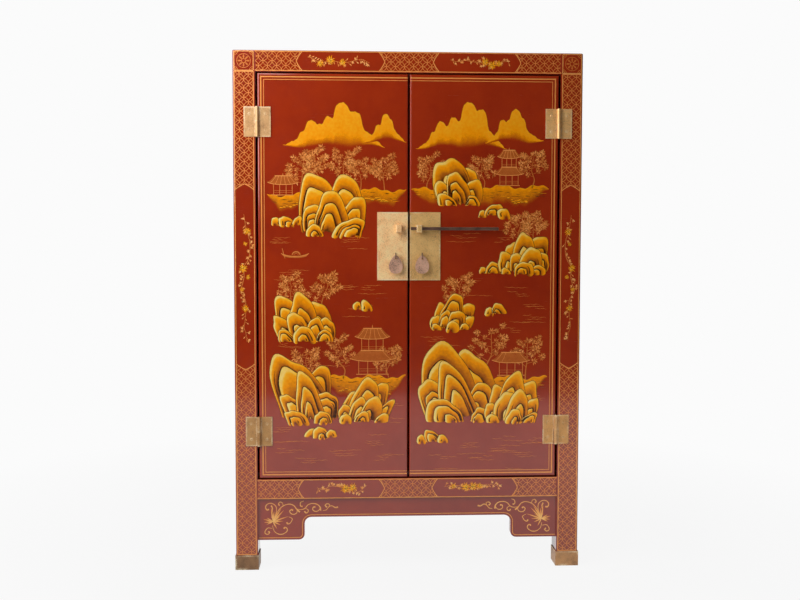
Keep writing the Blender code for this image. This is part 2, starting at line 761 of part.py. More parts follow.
def make_pull(side, ring_middle):
    """An egg-shaped drop whose hole hangs on the ring's wire. It swings about the ring's middle."""
    inner = RING_RADIUS - RING_WIRE
    hole_top = -math.sqrt(inner**2 - (PULL / 2) ** 2) + FIT
    hole_level = hole_top - PULL_HOLE
    top = hole_top + PULL_RIM
    outlines = [pull_outline(top), circle((0, hole_level), PULL_HOLE)]
    pull = flat_outline(f"pull_{side}", outlines, PULL)
    pull.location = ring_middle
    pull.rotation_euler = (math.radians(90), 0, 0)
    solid = solid_of(pull, BRONZE)
    bevel = solid.modifiers.new("round edges", "BEVEL")
    bevel.width = PULL_ROUND
    bevel.segments = 2
    bevel.limit_method = "ANGLE"
    bevel.angle_limit = math.radians(60)


def make_doors():
    """Both doors with all that they carry, on an empty at each hinge axis."""
    for side, x_sign in SIDES.items():
        axis = bpy.data.objects.new(f"{side}_door_axis", None)
        axis.location = (x_sign * HINGE_X, HINGE_Y, (DOOR_BASE + DOOR_TOP) / 2)
        PARTS.objects.link(axis)
        door = make_door(side, axis)
        make_hinge(side, "upper", DOOR_TOP - HINGE_FROM_END, axis)
        make_hinge(side, "lower", DOOR_BASE + HINGE_FROM_END, axis)
        plate = make_lock_plate(side, axis)
        make_staple(side, door, plate, axis)
        make_pull(side, make_pull_eye(side, door, plate, axis))
    make_lock_pin()


def make_case():
    """The frame of posts and rails with everything that is fixed in it."""
    posts, rooms = make_posts()
    make_foot_caps()
    rails = make_cross_rails(posts) | make_side_rails(posts)
    muntin = make_back_muntin(rails)
    make_side_panels(posts, rails)
    make_back_panels(posts, rails, muntin)
    make_top_panel(rails, rooms)
    make_bottom_board(rails, rooms)
    make_shelf(posts, rooms)
    make_aprons(posts)
    make_door_stops()


make_case()
make_doors()
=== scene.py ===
"""The looks of a tall red lacquer cupboard with gilt painting and brass fittings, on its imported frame."""

import json
import math
import random

import bpy
import numpy as np
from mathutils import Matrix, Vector


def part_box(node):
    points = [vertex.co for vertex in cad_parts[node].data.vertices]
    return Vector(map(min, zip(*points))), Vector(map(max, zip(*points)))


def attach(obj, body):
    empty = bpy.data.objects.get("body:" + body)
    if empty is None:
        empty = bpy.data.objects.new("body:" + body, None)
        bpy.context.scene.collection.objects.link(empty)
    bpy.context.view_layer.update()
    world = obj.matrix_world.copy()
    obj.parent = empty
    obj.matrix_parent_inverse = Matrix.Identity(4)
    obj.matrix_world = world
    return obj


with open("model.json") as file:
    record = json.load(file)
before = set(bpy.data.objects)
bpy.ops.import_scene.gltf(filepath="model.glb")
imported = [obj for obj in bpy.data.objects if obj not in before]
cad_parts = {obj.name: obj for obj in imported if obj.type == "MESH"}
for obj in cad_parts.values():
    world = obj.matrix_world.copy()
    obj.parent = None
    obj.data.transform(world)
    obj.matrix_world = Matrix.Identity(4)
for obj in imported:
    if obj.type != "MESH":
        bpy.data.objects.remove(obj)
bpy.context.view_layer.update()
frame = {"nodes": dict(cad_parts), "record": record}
bpy.context.scene.view_settings.view_transform = "Standard"


# Case of posts, rails and panels
# Softwood posts and rails, tenoned together, under many coats of red lacquer rubbed down to a gloss.
# Age has clouded the red a little and worn the edges, and the inside is washed with dark brown.
# The edges are also darkened with dark brown in patches, partly grime and partly painted shade on the
# rounded arrises.
def add_node(tree, kind, values=None, **settings):
    """Adds a node and sets its properties and inputs. An input given as a socket is linked."""
    node = tree.nodes.new(kind)
    for name, value in settings.items():
        setattr(node, name, value)
    for socket, value in (values or {}).items():
        if isinstance(value, bpy.types.NodeSocket):
            tree.links.new(value, node.inputs[socket])
        else:
            node.inputs[socket].default_value = value
    return node


def make_group(name, takes, gives):
    """An empty node group with named sockets: its tree, what it takes in and what it gives out."""
    group = bpy.data.node_groups.new(name, "ShaderNodeTree")
    for socket, kind, value in takes:
        made = group.interface.new_socket(socket, in_out="INPUT", socket_type=f"NodeSocket{kind}")
        made.default_value = value
    for socket, kind in gives:
        group.interface.new_socket(socket, in_out="OUTPUT", socket_type=f"NodeSocket{kind}")
    return group, group.nodes.new("NodeGroupInput").outputs, group.nodes.new("NodeGroupOutput").inputs


def feed(tree, sockets, ends):
    """Links sockets to the ends of the same names."""
    for name, socket in sockets.items():
        tree.links.new(socket, ends[name])


def mix_colours(tree, share, first, second):
    return add_node(tree, "ShaderNodeMix", {0: share, 6: first, 7: second}, data_type="RGBA").outputs[2]


def spread(tree, value, low, high, to_low=0.0, to_high=1.0):
    """Stretches a span of values to another, with what lies outside held at the ends."""
    values = {"Value": value, "From Min": low, "From Max": high, "To Min": to_low, "To Max": to_high}
    return add_node(tree, "ShaderNodeMapRange", values).outputs["Result"]


def calc(tree, operation, first, second):
    return add_node(tree, "ShaderNodeMath", {0: first, 1: second}, operation=operation).outputs["Value"]


def rest_place(tree):
    """Where a point of the surface lies at rest, in metres."""
    return add_node(tree, "ShaderNodeTexCoord").outputs["Object"]


def grain(tree, place, scale, detail=3.0, rough=0.5):
    values = {"Vector": place, "Scale": scale, "Detail": detail, "Roughness": rough}
    return add_node(tree, "ShaderNodeTexNoise", values).outputs["Fac"]


def paint(red, green, blue):
    """A colour as it looks on a screen, from 0 to 255, as the shader's own numbers."""
    shares = [value / 255 for value in (red, green, blue)]
    return (*[s / 12.92 if s <= 0.04045 else ((s + 0.055) / 1.055) ** 2.4 for s in shares], 1.0)


def use_group(tree, group, values=None):
    return add_node(tree, "ShaderNodeGroup", values, node_tree=group).outputs


def new_material(name, plain):
    """A material whose shader has some plain values. Returns the material, its tree and its shader."""
    material = bpy.data.materials.new(name)
    material.use_nodes = True
    shader = material.node_tree.nodes["Principled BSDF"]
    for socket, value in plain.items():
        shader.inputs[socket].default_value = value
    return material, material.node_tree, shader


def bump(tree, shader, height, strength, distance):
    values = {"Height": height, "Strength": strength, "Distance": distance}
    feed(tree, {"Normal": add_node(tree, "ShaderNodeBump", values).outputs["Normal"]}, shader.inputs)


LACQUER_GROUND, takes, gives = make_group(
    "lacquer ground",
    [("Colour", "Color", paint(160, 48, 14)), ("Deep Colour", "Color", paint(136, 34, 8))],
    [("Colour", "Color"), ("Roughness", "Float"), ("Height", "Float")],
)
tree = LACQUER_GROUND
place = rest_place(tree)
clouds = spread(tree, grain(tree, place, 3.5, 5.0, 0.6), 0.36, 0.64)
mottle = spread(tree, grain(tree, place, 38.0, 4.0, 0.6), 0.3, 0.7)
dust = spread(tree, grain(tree, place, 620.0, 2.0), 0.69, 0.76)
tone = calc(tree, "ADD", calc(tree, "MULTIPLY", clouds, 0.7), calc(tree, "MULTIPLY", mottle, 0.3))
coat = mix_colours(tree, tone, takes["Colour"], takes["Deep Colour"])
coat = mix_colours(tree, calc(tree, "MULTIPLY", dust, 0.35), coat, paint(190, 104, 74))
hairlines = add_node(tree, "ShaderNodeMapping", {"Vector": place, "Scale": (9.0, 9.0, 420.0)})
scuffs = spread(tree, grain(tree, hairlines.outputs["Vector"], 1.0, 3.0, 0.7), 0.6, 0.72)
dull = calc(tree, "ADD", calc(tree, "MULTIPLY", mottle, 0.09), calc(tree, "MULTIPLY", scuffs, 0.10))
dull = calc(tree, "ADD", dull, 0.13)
waves = calc(tree, "ADD", grain(tree, place, 7.0, 1.0), calc(tree, "MULTIPLY", scuffs, 0.02))
feed(tree, {"Colour": coat, "Roughness": dull, "Height": waves}, gives)

# A patchy mask along the edges. It places real wear, and also painted shade on the red lacquer and painted
# highlight on the brass.
EDGE_WEAR_AND_LIGHT, takes, gives = make_group(
    "edge wear and painted light",
    [("Width", "Float", 0.003), ("Amount", "Float", 1.0)],
    [("Wear And Painted Light", "Float"), ("Edge", "Float")],
)
tree = EDGE_WEAR_AND_LIGHT
rounded = add_node(tree, "ShaderNodeBevel", {"Radius": takes["Width"]}, samples=6).outputs["Normal"]
facing = add_node(tree, "ShaderNodeNewGeometry").outputs["True Normal"]
alike = add_node(tree, "ShaderNodeVectorMath", {0: rounded, 1: facing}, operation="DOT_PRODUCT")
edge = spread(tree, alike.outputs["Value"], 0.985, 0.86)
patchy = spread(tree, grain(tree, rest_place(tree), 26.0, 6.0, 0.72), 0.44, 0.7)
wear_and_painted_light = calc(tree, "MULTIPLY", calc(tree, "MULTIPLY", edge, patchy), takes["Amount"])
feed(tree, {"Wear And Painted Light": wear_and_painted_light, "Edge": edge}, gives)

INSIDE_DEPTH = 0.0215  # from the front of the case to where its inside begins
INSIDE_MARGIN = 0.0155  # from the other outer faces of the case to its inside
INSIDE_TOP = 0.0005  # how far the inside reaches above the lower face of the top panel
INSIDE_BROWN = paint(74, 40, 26)
INSIDE_DEEP = paint(50, 25, 16)
# Dark brown for the edges: partly grime, partly painted shade on the rounded arrises.
EDGE_GRIME_AND_SHADE = paint(92, 52, 34)

case_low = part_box("post_front_left")[0]
case_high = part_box("post_back_right")[1]
RED_LACQUER, tree, shader = new_material("red_lacquer", {"Coat Roughness": 0.07})
ground = use_group(tree, LACQUER_GROUND)
wash = use_group(tree, LACQUER_GROUND, {"Colour": INSIDE_BROWN, "Deep Colour": INSIDE_DEEP})
axes = add_node(tree, "ShaderNodeSeparateXYZ", {"Vector": rest_place(tree)}).outputs
within = calc(tree, "LESS_THAN", calc(tree, "ABSOLUTE", axes["X"], 0.0), case_high.x - INSIDE_MARGIN)
for limit, operation, axis in (
    (case_low.y + INSIDE_DEPTH, "GREATER_THAN", "Y"),
    (case_high.y - INSIDE_MARGIN, "LESS_THAN", "Y"),
    (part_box("bottom_board")[0].z, "GREATER_THAN", "Z"),
    (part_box("top_panel")[0].z + INSIDE_TOP, "LESS_THAN", "Z"),
):
    within = calc(tree, "MULTIPLY", within, calc(tree, operation, axes[axis], limit))
edge_marks = use_group(tree, EDGE_WEAR_AND_LIGHT)
colour = mix_colours(tree, within, ground["Colour"], wash["Colour"])
# Patchy dark brown along the edges, partly grime and partly painted shade.
colour = mix_colours(tree, calc(tree, "MULTIPLY", edge_marks["Wear And Painted Light"], 0.8), colour, EDGE_GRIME_AND_SHADE)
rough = calc(tree, "ADD", ground["Roughness"], calc(tree, "MULTIPLY", within, 0.22))
rough = calc(tree, "ADD", rough, calc(tree, "MULTIPLY", edge_marks["Edge"], 0.3))
gloss = spread(tree, edge_marks["Edge"], 0.0, 1.0, 0.7, 0.15)
gloss = calc(tree, "MULTIPLY", gloss, spread(tree, within, 0.0, 1.0, 1.0, 0.25))
feed(tree, {"Base Color": colour, "Coat Weight": gloss, "Roughness": rough}, shader.inputs)
bump(tree, shader, ground["Height"], 0.06, 0.004)


def finish_node(name, material):
    """Gives a node of the frame its material."""
    mesh = frame["nodes"][name].data
    mesh.materials.clear()
    mesh.materials.append(material)


def nodes_in(slot):
    """The names of the frame's nodes that are of one material."""
    return [piece["node"] for piece in frame["record"]["subparts"] if piece["material_slot"] == slot]


for name in nodes_in("red_lacquer"):
    finish_node(name, RED_LACQUER)


# Boards inside
# Bottom board, shelf, bearers, battens and door stops are planed softwood under thin dark brown lacquer.
# It was brushed from side to side, so the colour is streaked that way.
STREAKS = (4.0, 110.0, 110.0)  # how fine the streaks are along and across the brush
INSIDE_LACQUER, tree, shader = new_material("inside_lacquer", {"Coat Weight": 0.15, "Coat Roughness": 0.2})
wash = use_group(tree, LACQUER_GROUND, {"Colour": INSIDE_BROWN, "Deep Colour": INSIDE_DEEP})
along = add_node(tree, "ShaderNodeMapping", {"Vector": rest_place(tree), "Scale": STREAKS})
streaks = grain(tree, along.outputs["Vector"], 1.0, 5.0, 0.65)
colour = mix_colours(tree, spread(tree, streaks, 0.35, 0.7, 0.0, 0.7), wash["Colour"], paint(38, 18, 11))
wear_and_painted_light = use_group(tree, EDGE_WEAR_AND_LIGHT, {"Width": 0.002})["Wear And Painted Light"]
colour = mix_colours(tree, calc(tree, "MULTIPLY", wear_and_painted_light, 0.6), colour, paint(120, 82, 56))
rough = spread(tree, streaks, 0.3, 0.7, 0.32, 0.5)
feed(tree, {"Base Color": colour, "Roughness": rough}, shader.inputs)
bump(tree, shader, streaks, 0.12, 0.0006)
for name in nodes_in("inside_lacquer"):
    finish_node(name, INSIDE_LACQUER)


# Coin diaper on the front frame
# Each front post and rail carries a field of linked coins between border lines, drawn with a fine brush
# in gold over the lacquer, with plain cartouches left open in the field. The gold stands slightly proud.
def gilt_material(name, tones):
    """Gold powder on the lacquer. A point's tone picks its gold, and its wash says how thick it lies."""
    plain = {"Coat Weight": 0.2, "Coat Roughness": 0.12, "Specular IOR Level": 0.25}
    material, tree, shader = new_material(name, plain)
    ground = use_group(tree, LACQUER_GROUND)
    tone = add_node(tree, "ShaderNodeAttribute", attribute_name="tone").outputs["Fac"]
    cover = add_node(tree, "ShaderNodeAttribute", attribute_name="wash").outputs["Fac"]
    place = rest_place(tree)
    powder = grain(tree, place, 800.0, 2.0, 0.6)
    rubbed = spread(tree, grain(tree, place, 55.0, 5.0, 0.7), 0.6, 0.78, 0.0, 0.3)
    shade = calc(tree, "ADD", tone, spread(tree, grain(tree, place, 140.0, 3.0), 0.3, 0.7, -0.05, 0.05))
    golds = add_node(tree, "ShaderNodeValToRGB", {"Fac": shade})
    stops = golds.color_ramp.elements
    for position, _ in tones[1:-1]:
        stops.new(position)
    for stop, (_, gold) in zip(stops, tones):
        stop.color = gold
    cover = calc(tree, "SUBTRACT", cover, rubbed)
    cover = calc(tree, "ADD", cover, spread(tree, powder, 0.25, 0.75, -0.2, 0.2))
    leaf = spread(tree, cover, 0.12, 0.62)
    colour = mix_colours(tree, leaf, ground["Colour"], golds.outputs["Color"])
    metal = calc(tree, "MULTIPLY", leaf, 0.22)
    rough = spread(tree, leaf, 0.0, 1.0, 0.18, 0.28)
    feed(tree, {"Base Color": colour, "Metallic": metal, "Roughness": rough}, shader.inputs)
    bump(tree, shader, powder, 0.08, 0.0003)
    return material


COPPERY_GILT = gilt_material(
    "coppery_gilt",
    (
        (0.0, paint(110, 44, 12)),
        (0.4, paint(206, 118, 50)),
        (0.75, paint(236, 156, 80)),
        (1.0, paint(252, 202, 126)),
    ),
)
GOLD_BODY = 0.0005  # how deep the gold's own body goes, mostly under the lacquer's face
LIFT = 0.00005  # how far the gold stands proud
LIFT_STEP = 0.000036  # between one layer of gold and the next
STROKE_STEP = 0.0000025  # between one stroke and the next in a layer
STROKE_ROUND = 13  # strokes before the steps begin again


def new_gilding():
    """Gold to be laid: points (two flat places and a lift), faces, and each point's tone and wash."""
    return {"points": [], "faces": [], "tone": [], "wash": [], "strokes": 0}


def stroke_lift(gilding, lift, step):
    """Counts a stroke and lifts it by its number of steps, so that it lies clear of the last ones."""
    gilding["strokes"] += 1
    return lift + gilding["strokes"] % STROKE_ROUND * step


def lay_gilding(name, gilding, place, body, material=COPPERY_GILT):
    """Lays drawn gold on a face of a body. The place turns two flat places and a lift into a point."""
    mesh = bpy.data.meshes.new(name)
    mesh.from_pydata([place(*point) for point in gilding["points"]], [], gilding["faces"])
    for key in ("tone", "wash"):
        mesh.attributes.new(key, "FLOAT", "POINT").data.foreach_set("value", gilding[key])
    mesh.materials.append(material)
    piece = bpy.data.objects.new(name, mesh)
    bpy.context.scene.collection.objects.link(piece)
    depth = piece.modifiers.new("body of the gold", "SOLIDIFY")
    depth.thickness = GOLD_BODY
    depth.offset = -1
    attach(piece, body)


def brush(gilding, line, width, tone=0.8, lift=LIFT, shares=(1.0, 1.0), wash=1.0, step=STROKE_STEP):
    """A brush line of a width, which the shares along it thicken or thin."""
    line = np.asarray(line, float)
    along = np.gradient(line, axis=0)
    along /= np.maximum(np.linalg.norm(along, axis=1), 1e-9)[:, None]
    across = np.stack([-along[:, 1], along[:, 0]], axis=1)
    levels = np.linspace(0, 1, len(line))
    half = width / 2 * np.interp(levels, np.linspace(0, 1, len(shares)), shares)[:, None]
    first = len(gilding["points"])
    lift = stroke_lift(gilding, lift, step)
    for left, right in zip(line + across * half, line - across * half):
        gilding["points"] += [(*left, lift), (*right, lift)]
    gilding["faces"] += [(at, at + 1, at + 3, at + 2) for at in range(first, first + 2 * len(line) - 2, 2)]
    gilding["tone"] += [tone] * (2 * len(line))
    gilding["wash"] += [wash] * (2 * len(line))


def smooth(points, steps=7):
    """A flowing line through a few points."""
    points = np.asarray(points, float)
    ends = [2 * points[0] - points[1]], [2 * points[-1] - points[-2]]
    ruled = np.vstack([ends[0], points, ends[1]])
    share = np.linspace(0, 1, steps, endpoint=False)[:, None]
    runs = []
    for a, b, c, d in zip(ruled, ruled[1:], ruled[2:], ruled[3:]):
        bend = (2 * a - 5 * b + 4 * c - d) * share**2 + (3 * b - a - 3 * c + d) * share**3
        runs.append((2 * b + (c - a) * share + bend) / 2)
    return np.vstack([*runs, points[-1:]])


def turn(middle, radius, start=0.0, end=360.0, steps=40):
    """Points along an arc, with its angles in degrees."""
    angles = np.radians(np.linspace(start, end, steps + 1))
    return np.stack([middle[0] + radius * np.cos(angles), middle[1] + radius * np.sin(angles)], axis=1)


COIN = 0.0104  # radius of a coin
COIN_LINE = 0.0011
COIN_TONE = 0.57
BORDER_LINE = 0.0018
BORDER_TONE = 0.76
CARTOUCHE_POINT = 0.013  # how far a cartouche's end reaches out to its point


def cartouche_end(across, half):
    """How far a cartouche's end lies back from its point, across the field."""
    share = np.abs(across) / half
    return CARTOUCHE_POINT * (0.75 * share + 0.25 * share**3)


def coin_field(gilding, start, end, cartouches, closed):
    """Linked coins along the first flat place, two coins wide, between border lines. A closed field has
    lines at its ends too."""
    half = 2 * COIN
    count = math.ceil((end - start) / COIN)
    middle = (start + end) / 2
    first = middle - (count // 2 + 1) * COIN
    for row in range(-2, 3):
        for column in range(count + 3):
            if (row + column) % 2:
                continue
            coin = turn((first + column * COIN, row * COIN), COIN)
            shown = (np.abs(coin[:, 1]) <= half) & (coin[:, 0] >= start) & (coin[:, 0] <= end)
            for low, high in cartouches:
                back = cartouche_end(coin[:, 1], half)
                shown &= (coin[:, 0] < low + back) | (coin[:, 0] > high - back)
            runs = np.split(np.arange(len(coin)), np.flatnonzero(np.diff(shown)) + 1)
            for run in runs:
                if shown[run[0]] and len(run) > 1:
                    brush(gilding, coin[run], COIN_LINE, COIN_TONE, LIFT + (row % 2) * LIFT_STEP)
    edge = half + BORDER_LINE / 2
    ends = (start - BORDER_LINE / 2, end + BORDER_LINE / 2)
    lines = [[(ends[0], side * edge), (ends[1], side * edge)] for side in (-1, 1)]
    if closed:
        lines += [[(at, -half), (at, half)] for at in (start, end)]
    for low, high in cartouches:
        across = np.linspace(-half, half, 17)
        lines.append(np.stack([low + cartouche_end(across, half), across], axis=1))
        lines.append(np.stack([high - cartouche_end(across, half), across], axis=1))
    for line in lines:
        brush(gilding, line, BORDER_LINE, BORDER_TONE, LIFT + 2 * LIFT_STEP)


face = case_low.y
SIDES = {"left": -1, "right": 1}
RAIL_CARTOUCHE = (0.0555, 0.2575)  # middle of the cupboard to a rail cartouche's two points
POST_CARTOUCHE = (0.470, 0.897)  # levels of a post cartouche's two points
RAIL_END = 0.0006  # post to a rail field's end
FIELD_END = 0.0022  # foot cap to a post field's end line
post_low, post_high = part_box("post_front_right")
reach = case_high.x - (post_high.x - post_low.x)


def upright(middle):
    """Lays gold up a post: the first flat place runs up, the second to the left."""

    def place(up, left, lift):
        return middle - left, face - lift, up

    return place


def level(middle, front=face):
    """Lays gold on a front face: the first flat place runs to the right, the second up from the middle."""

    def place(right, up, lift):
        return right, front - lift, middle + up

    return place


rail_levels = {}
for name in ("top", "bottom"):
    rail_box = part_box(f"{name}_rail_front")
    rail_levels[name] = (rail_box[0].z + rail_box[1].z) / 2
    inner, outer = RAIL_CARTOUCHE
    gilding = new_gilding()
    coin_field(gilding, -reach + RAIL_END, reach - RAIL_END, [(-outer, -inner), (inner, outer)], False)
    lay_gilding(f"coin_diaper_{name}_rail", gilding, level(rail_levels[name]), "carcass")

post_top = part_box("top_rail_front")[0].z
cap_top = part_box("foot_cap_front_left")[1].z
post_middles = {}
for side, sign in SIDES.items():
    post_middles[side] = sign * (reach + case_high.x) / 2
    gilding = new_gilding()
    coin_field(gilding, cap_top + FIELD_END, post_top, [POST_CARTOUCHE], True)
    lay_gilding(f"coin_diaper_post_{side}", gilding, upright(post_middles[side]), "carcass")


# Corner squares
# Where a front post meets the top rail, a square between ruled lines holds one rosette in a ring.
# It is painted on the lacquer in the diaper's coppery gold, with a fine brush.
SQUARE_GAP = 0.0022  # between the post's field and its corner square
SQUARE_TONE = 0.8
ROSETTE = 0.0155  # radius of the ring
ROSETTE_TONE = 0.45
HEART_LINE = 0.0014
PETAL_WIDTH = 0.0038
PETAL_TONE = 0.36
CORNER_ARCS = (0.0052, 0.0086)  # radii of the arcs in each corner
ARC_TONE = 0.5
post_head = case_high.z - FIELD_END - BORDER_LINE / 2


def heading(angle):
    """One step in a direction."""
    return np.array([math.cos(angle), math.sin(angle)])


for side, middle in post_middles.items():
    gilding = new_gilding()
    low = post_top + SQUARE_GAP
    edge = 2 * COIN + BORDER_LINE / 2
    for sign in (-1, 1):
        brush(gilding, [(low, sign * edge), (post_head, sign * edge)], BORDER_LINE, SQUARE_TONE)
    for at in (low, post_head):
        brush(gilding, [(at, -edge), (at, edge)], BORDER_LINE, SQUARE_TONE, LIFT + LIFT_STEP)
    heart = (low + post_head) / 2
    brush(gilding, turn((heart, 0), ROSETTE), COIN_LINE, ROSETTE_TONE)
    brush(gilding, turn((heart, 0), ROSETTE * 0.3), HEART_LINE, ROSETTE_TONE, LIFT + LIFT_STEP)
    for petal in range(8):
        reach_out = heading(math.radians(45 * petal)) * ROSETTE
        line = [np.array([heart, 0]) + reach_out * share for share in (0.34, 0.5, 0.7, 0.92)]
        brush(gilding, line, PETAL_WIDTH, PETAL_TONE, LIFT, (0.2, 0.9, 1.0, 0.15))
    for along in (low, post_head):
        for across in (-edge, edge):
            inward = (math.copysign(1, heart - along), -math.copysign(1, across))
            start = math.degrees(math.atan2(inward[1], inward[0])) - 45
            for radius in CORNER_ARCS:
                brush(gilding, turn((along, across), radius, start, start + 90, 9), COIN_LINE, ARC_TONE)
    lay_gilding(f"corner_square_{side}", gilding, upright(middle), "carcass")


# Flower sprays in the cartouches
# Each plain cartouche holds a flowering twig, painted freehand on the lacquer: a thin stem and small
# leaves in coppery gold, and full blossoms of many petals in yellow gold.
YELLOW_GILT = gilt_material(
    "yellow_gilt",
    (
        (0.0, paint(58, 24, 4)),
        (0.3, paint(184, 98, 18)),
        (0.55, paint(252, 154, 0)),
        (0.75, paint(255, 190, 46)),
        (1.0, paint(255, 228, 136)),
    ),
)


def leaf(gilding, root, angle, length, width, tone, lift):
    """One leaf or petal as a single pressed stroke of the brush."""
    line = [np.array(root) + heading(angle) * length * share for share in (0.0, 0.3, 0.65, 1.0)]
    brush(gilding, line, width, tone, lift, (0.25, 1.0, 0.85, 0.08))


PETAL_RINGS = (  # petals in a ring, their length and width as shares of the blossom's radius, their tone
    (11, 1.0, 0.19, 0.52),
    (9, 0.8, 0.16, 0.68),
    (8, 0.72, 0.1, 0.1),
    (7, 0.52, 0.16, 0.74),
    (4, 0.3, 0.1, 0.15),
)


def blossom(gilding, middle, size, seed):
    """A full flower: rings of narrow petals, laid from the outside in, with dark gaps between them."""
    rng = random.Random(seed)
    for ring, (count, share, width, tone) in enumerate(PETAL_RINGS):
        for petal in range(count):
            angle = (petal + 0.5 * ring + rng.uniform(-0.3, 0.3)) * 2 * math.pi / count
            length = size * share * rng.uniform(0.75, 1.12)
            lift = LIFT + (3 + ring) * LIFT_STEP
            leaf(gilding, middle, angle, length, size * width, tone + rng.uniform(-0.1, 0.1), lift)


STEM_LINE = 0.0011
STALK_LINE = 0.0007
STEM_TONE = 0.6
LEAF_WIDTH = 0.0024


def spray(name, place, stem, blossoms, leaves, seed):
    """Paints a flowering twig: a thin stem, small leaves to both sides and blossoms at given places."""
    twigs = new_gilding()
    flowers = new_gilding()
    rng = random.Random(seed)
    line = smooth(stem, 9)
    brush(twigs, line, STEM_LINE, STEM_TONE, LIFT, (0.5, 1.0, 0.8, 0.45))
    along = np.gradient(line, axis=0)
    for share in np.linspace(0.02, 0.98, leaves):
        at = int(share * (len(line) - 1))
        angle = math.atan2(along[at][1], along[at][0]) + rng.choice((-1, 1)) * rng.uniform(0.5, 1.4)
        root = line[at] + rng.uniform(0.001, 0.007) * heading(angle)
        brush(twigs, [line[at], root], STALK_LINE, STEM_TONE)
        for fan in (0.0, -0.7, 0.7)[: rng.randint(1, 3)]:
            length = rng.uniform(0.0042, 0.0075)
            leaf(twigs, root, angle + fan, length, LEAF_WIDTH, rng.uniform(0.6, 0.95), LIFT + LIFT_STEP)
    for number, (first, second, size) in enumerate(blossoms):
        blossom(flowers, (first, second), size, seed * 10 + number)
    lay_gilding(f"twigs_{name}", twigs, place, "carcass")
    lay_gilding(f"flowers_{name}", flowers, place, "carcass", YELLOW_GILT)


RAIL_LEAVES = 30
RAIL_SEED = 60
RAIL_SPRAYS = {  # stem, then blossoms with radii, in millimetres right and up from the rail's middle
    ("top", "left"): (
        ((-232, 9), (-220, 6), (-203, -4), (-180, 2), (-152, -3), (-128, 1), (-108, 5), (-90, -3)),
        ((-203, -5, 9.5), (-180, 2, 12), (-152, -2, 9.5)),
    ),
    ("top", "right"): (
        ((94, 6), (112, 2), (124, 5), (145, 3), (160, 0), (175, 2), (190, -6), (212, 2), (232, 4)),
        ((175, 2, 10.5), (191, -5, 11.5), (206, -2, 8)),
    ),
    ("bottom", "left"): (
        ((-213, 3), (-200, -2), (-182, 6), (-165, 5), (-140, 0), (-118, -8), (-96, 8)),
        ((-147, 0, 13.5), (-130, 2, 12)),
    ),
    ("bottom", "right"): (
        ((84, 2), (104, 6), (125, 3), (144, 2), (165, 3), (179, 7), (200, 6), (217, 1)),
        ((106, 3, 8), (135, 1, 12), (152, 2, 13), (168, 4, 9)),
    ),
}
for seed, ((name, side), (stem, blossoms)) in enumerate(RAIL_SPRAYS.items()):
    place = level(rail_levels[name])
    stem = np.array(stem) / 1000
    blossoms = np.array(blossoms) / 1000
    spray(f"{name}_rail_{side}", place, stem, blossoms, RAIL_LEAVES, RAIL_SEED + seed)

POST_LEAVES = 46
POST_SEED = 70
POST_STEM = (  # in millimetres up from the floor and left of the middle of the left post
    (828, 2), (800, -2), (789, -5), (765, -11), (740, -11), (722, -6), (704, 4), (685, 2),
    (665, 7), (650, 11), (632, 0), (611, -1), (590, 0), (570, 3), (550, -2), (535, -3),
)
POST_BLOSSOMS = (  # place and radius, in millimetres as above
    (789, -5, 9.7), (760, -1, 6), (704, 4.5, 11.5), (684, -7, 6.5), (655, 7, 6), (611, 0, 9.5),
)
for side, sign in SIDES.items():
    place = upright(post_middles[side])
    stem = np.array(POST_STEM) * (1, -sign) / 1000
    blossoms = np.array(POST_BLOSSOMS) * (1, -sign, 1) / 1000
    spray(f"post_{side}", place, stem, blossoms, POST_LEAVES, POST_SEED + sign)


# Apron line and scrolls
# A gold line follows the apron's lower edge, and a fan of leaves with curling tendrils fills each bracket.
# Both are painted on the lacquer in coppery gold, the leaves with a pale vein over each.
APRON_EDGE = 0.1217  # level of the apron's lower edge between its brackets
BRACKET_REACH = 0.2427  # middle of the cupboard to a bracket's inner edge
BRACKET_ROUND = 0.013  # radius of a bracket's lower corner
BRACKET_HOLLOW = 0.016  # radius of the hollow between a bracket and the edge
LINE_INSET = 0.0050
LINE_END = 0.002  # post to the line's end
APRON_LINE = 0.0016
LINE_TONE = 0.72
FAN_LEAF = 0.0031
FAN_VEIN = 0.0015
VEIN_TONE = 0.95
TENDRIL_LINE = 0.0026
TENDRIL_TONE = 0.84
SCROLL_HEART = (0.3165, 0.1115)  # from the middle to either side, and up from the floor
SCROLLS = (  # tendrils from the heart, in millimetres towards the middle and up
    ((2, 8), (8, 23), (7, 36), (-2, 43), (-12, 42), (-17, 35), (-14, 28), (-9, 29)),
    ((-3, 9), (-2, 22), (-1, 32), (-4, 38)),
    ((2, 6), (10, 22), (21, 35), (36, 41), (48, 38), (56, 28), (63, 22)),
    ((56, 28), (56, 21), (50, 17), (43, 18), (39, 24), (43, 28), (47, 26)),
    ((56, 29), (67, 28), (75, 31), (82, 39), (92, 42), (103, 40), (110, 33), (111, 25)),
    ((24, 36), (22, 44), (16, 46), (13, 41), (16, 38)),
    ((37, 11), (45, 6), (41, -3), (35, -6), (32, -2)),
    ((-1, -9), (2, -21), (11, -29), (22, -30), (32, -24), (33, -17), (28, -14), (25, -17)),
    ((-2, -16), (-12, -15), (-18, -22), (-18, -28), (-12, -30), (-8, -26), (-11, -23)),
    ((72, 48), (65, 45), (64, 37), (69, 35)),
    ((75, 31), (82, 27), (81, 21), (76, 20), (74, 24)),
    ((110, 31), (106, 25), (99, 23), (93, 27), (94, 33), (99, 34)),
    ((117, 25), (125, 27), (131, 34), (138, 36), (145, 32), (152, 33)),
    ((130, 33), (132, 39), (126, 41), (122, 37), (126, 33)),
)
FAN = (  # tips of the leaves, as the tendrils
    (-22, 6), (-20, -2), (-14, 9), (-4, 33), (3, 26), (12, 25), (20, 32),
    (26, 27), (17, 13), (36, 12), (24, 1), (18, -8), (9, -17), (-15, -7),
)
apron_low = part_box("apron_front")[0]
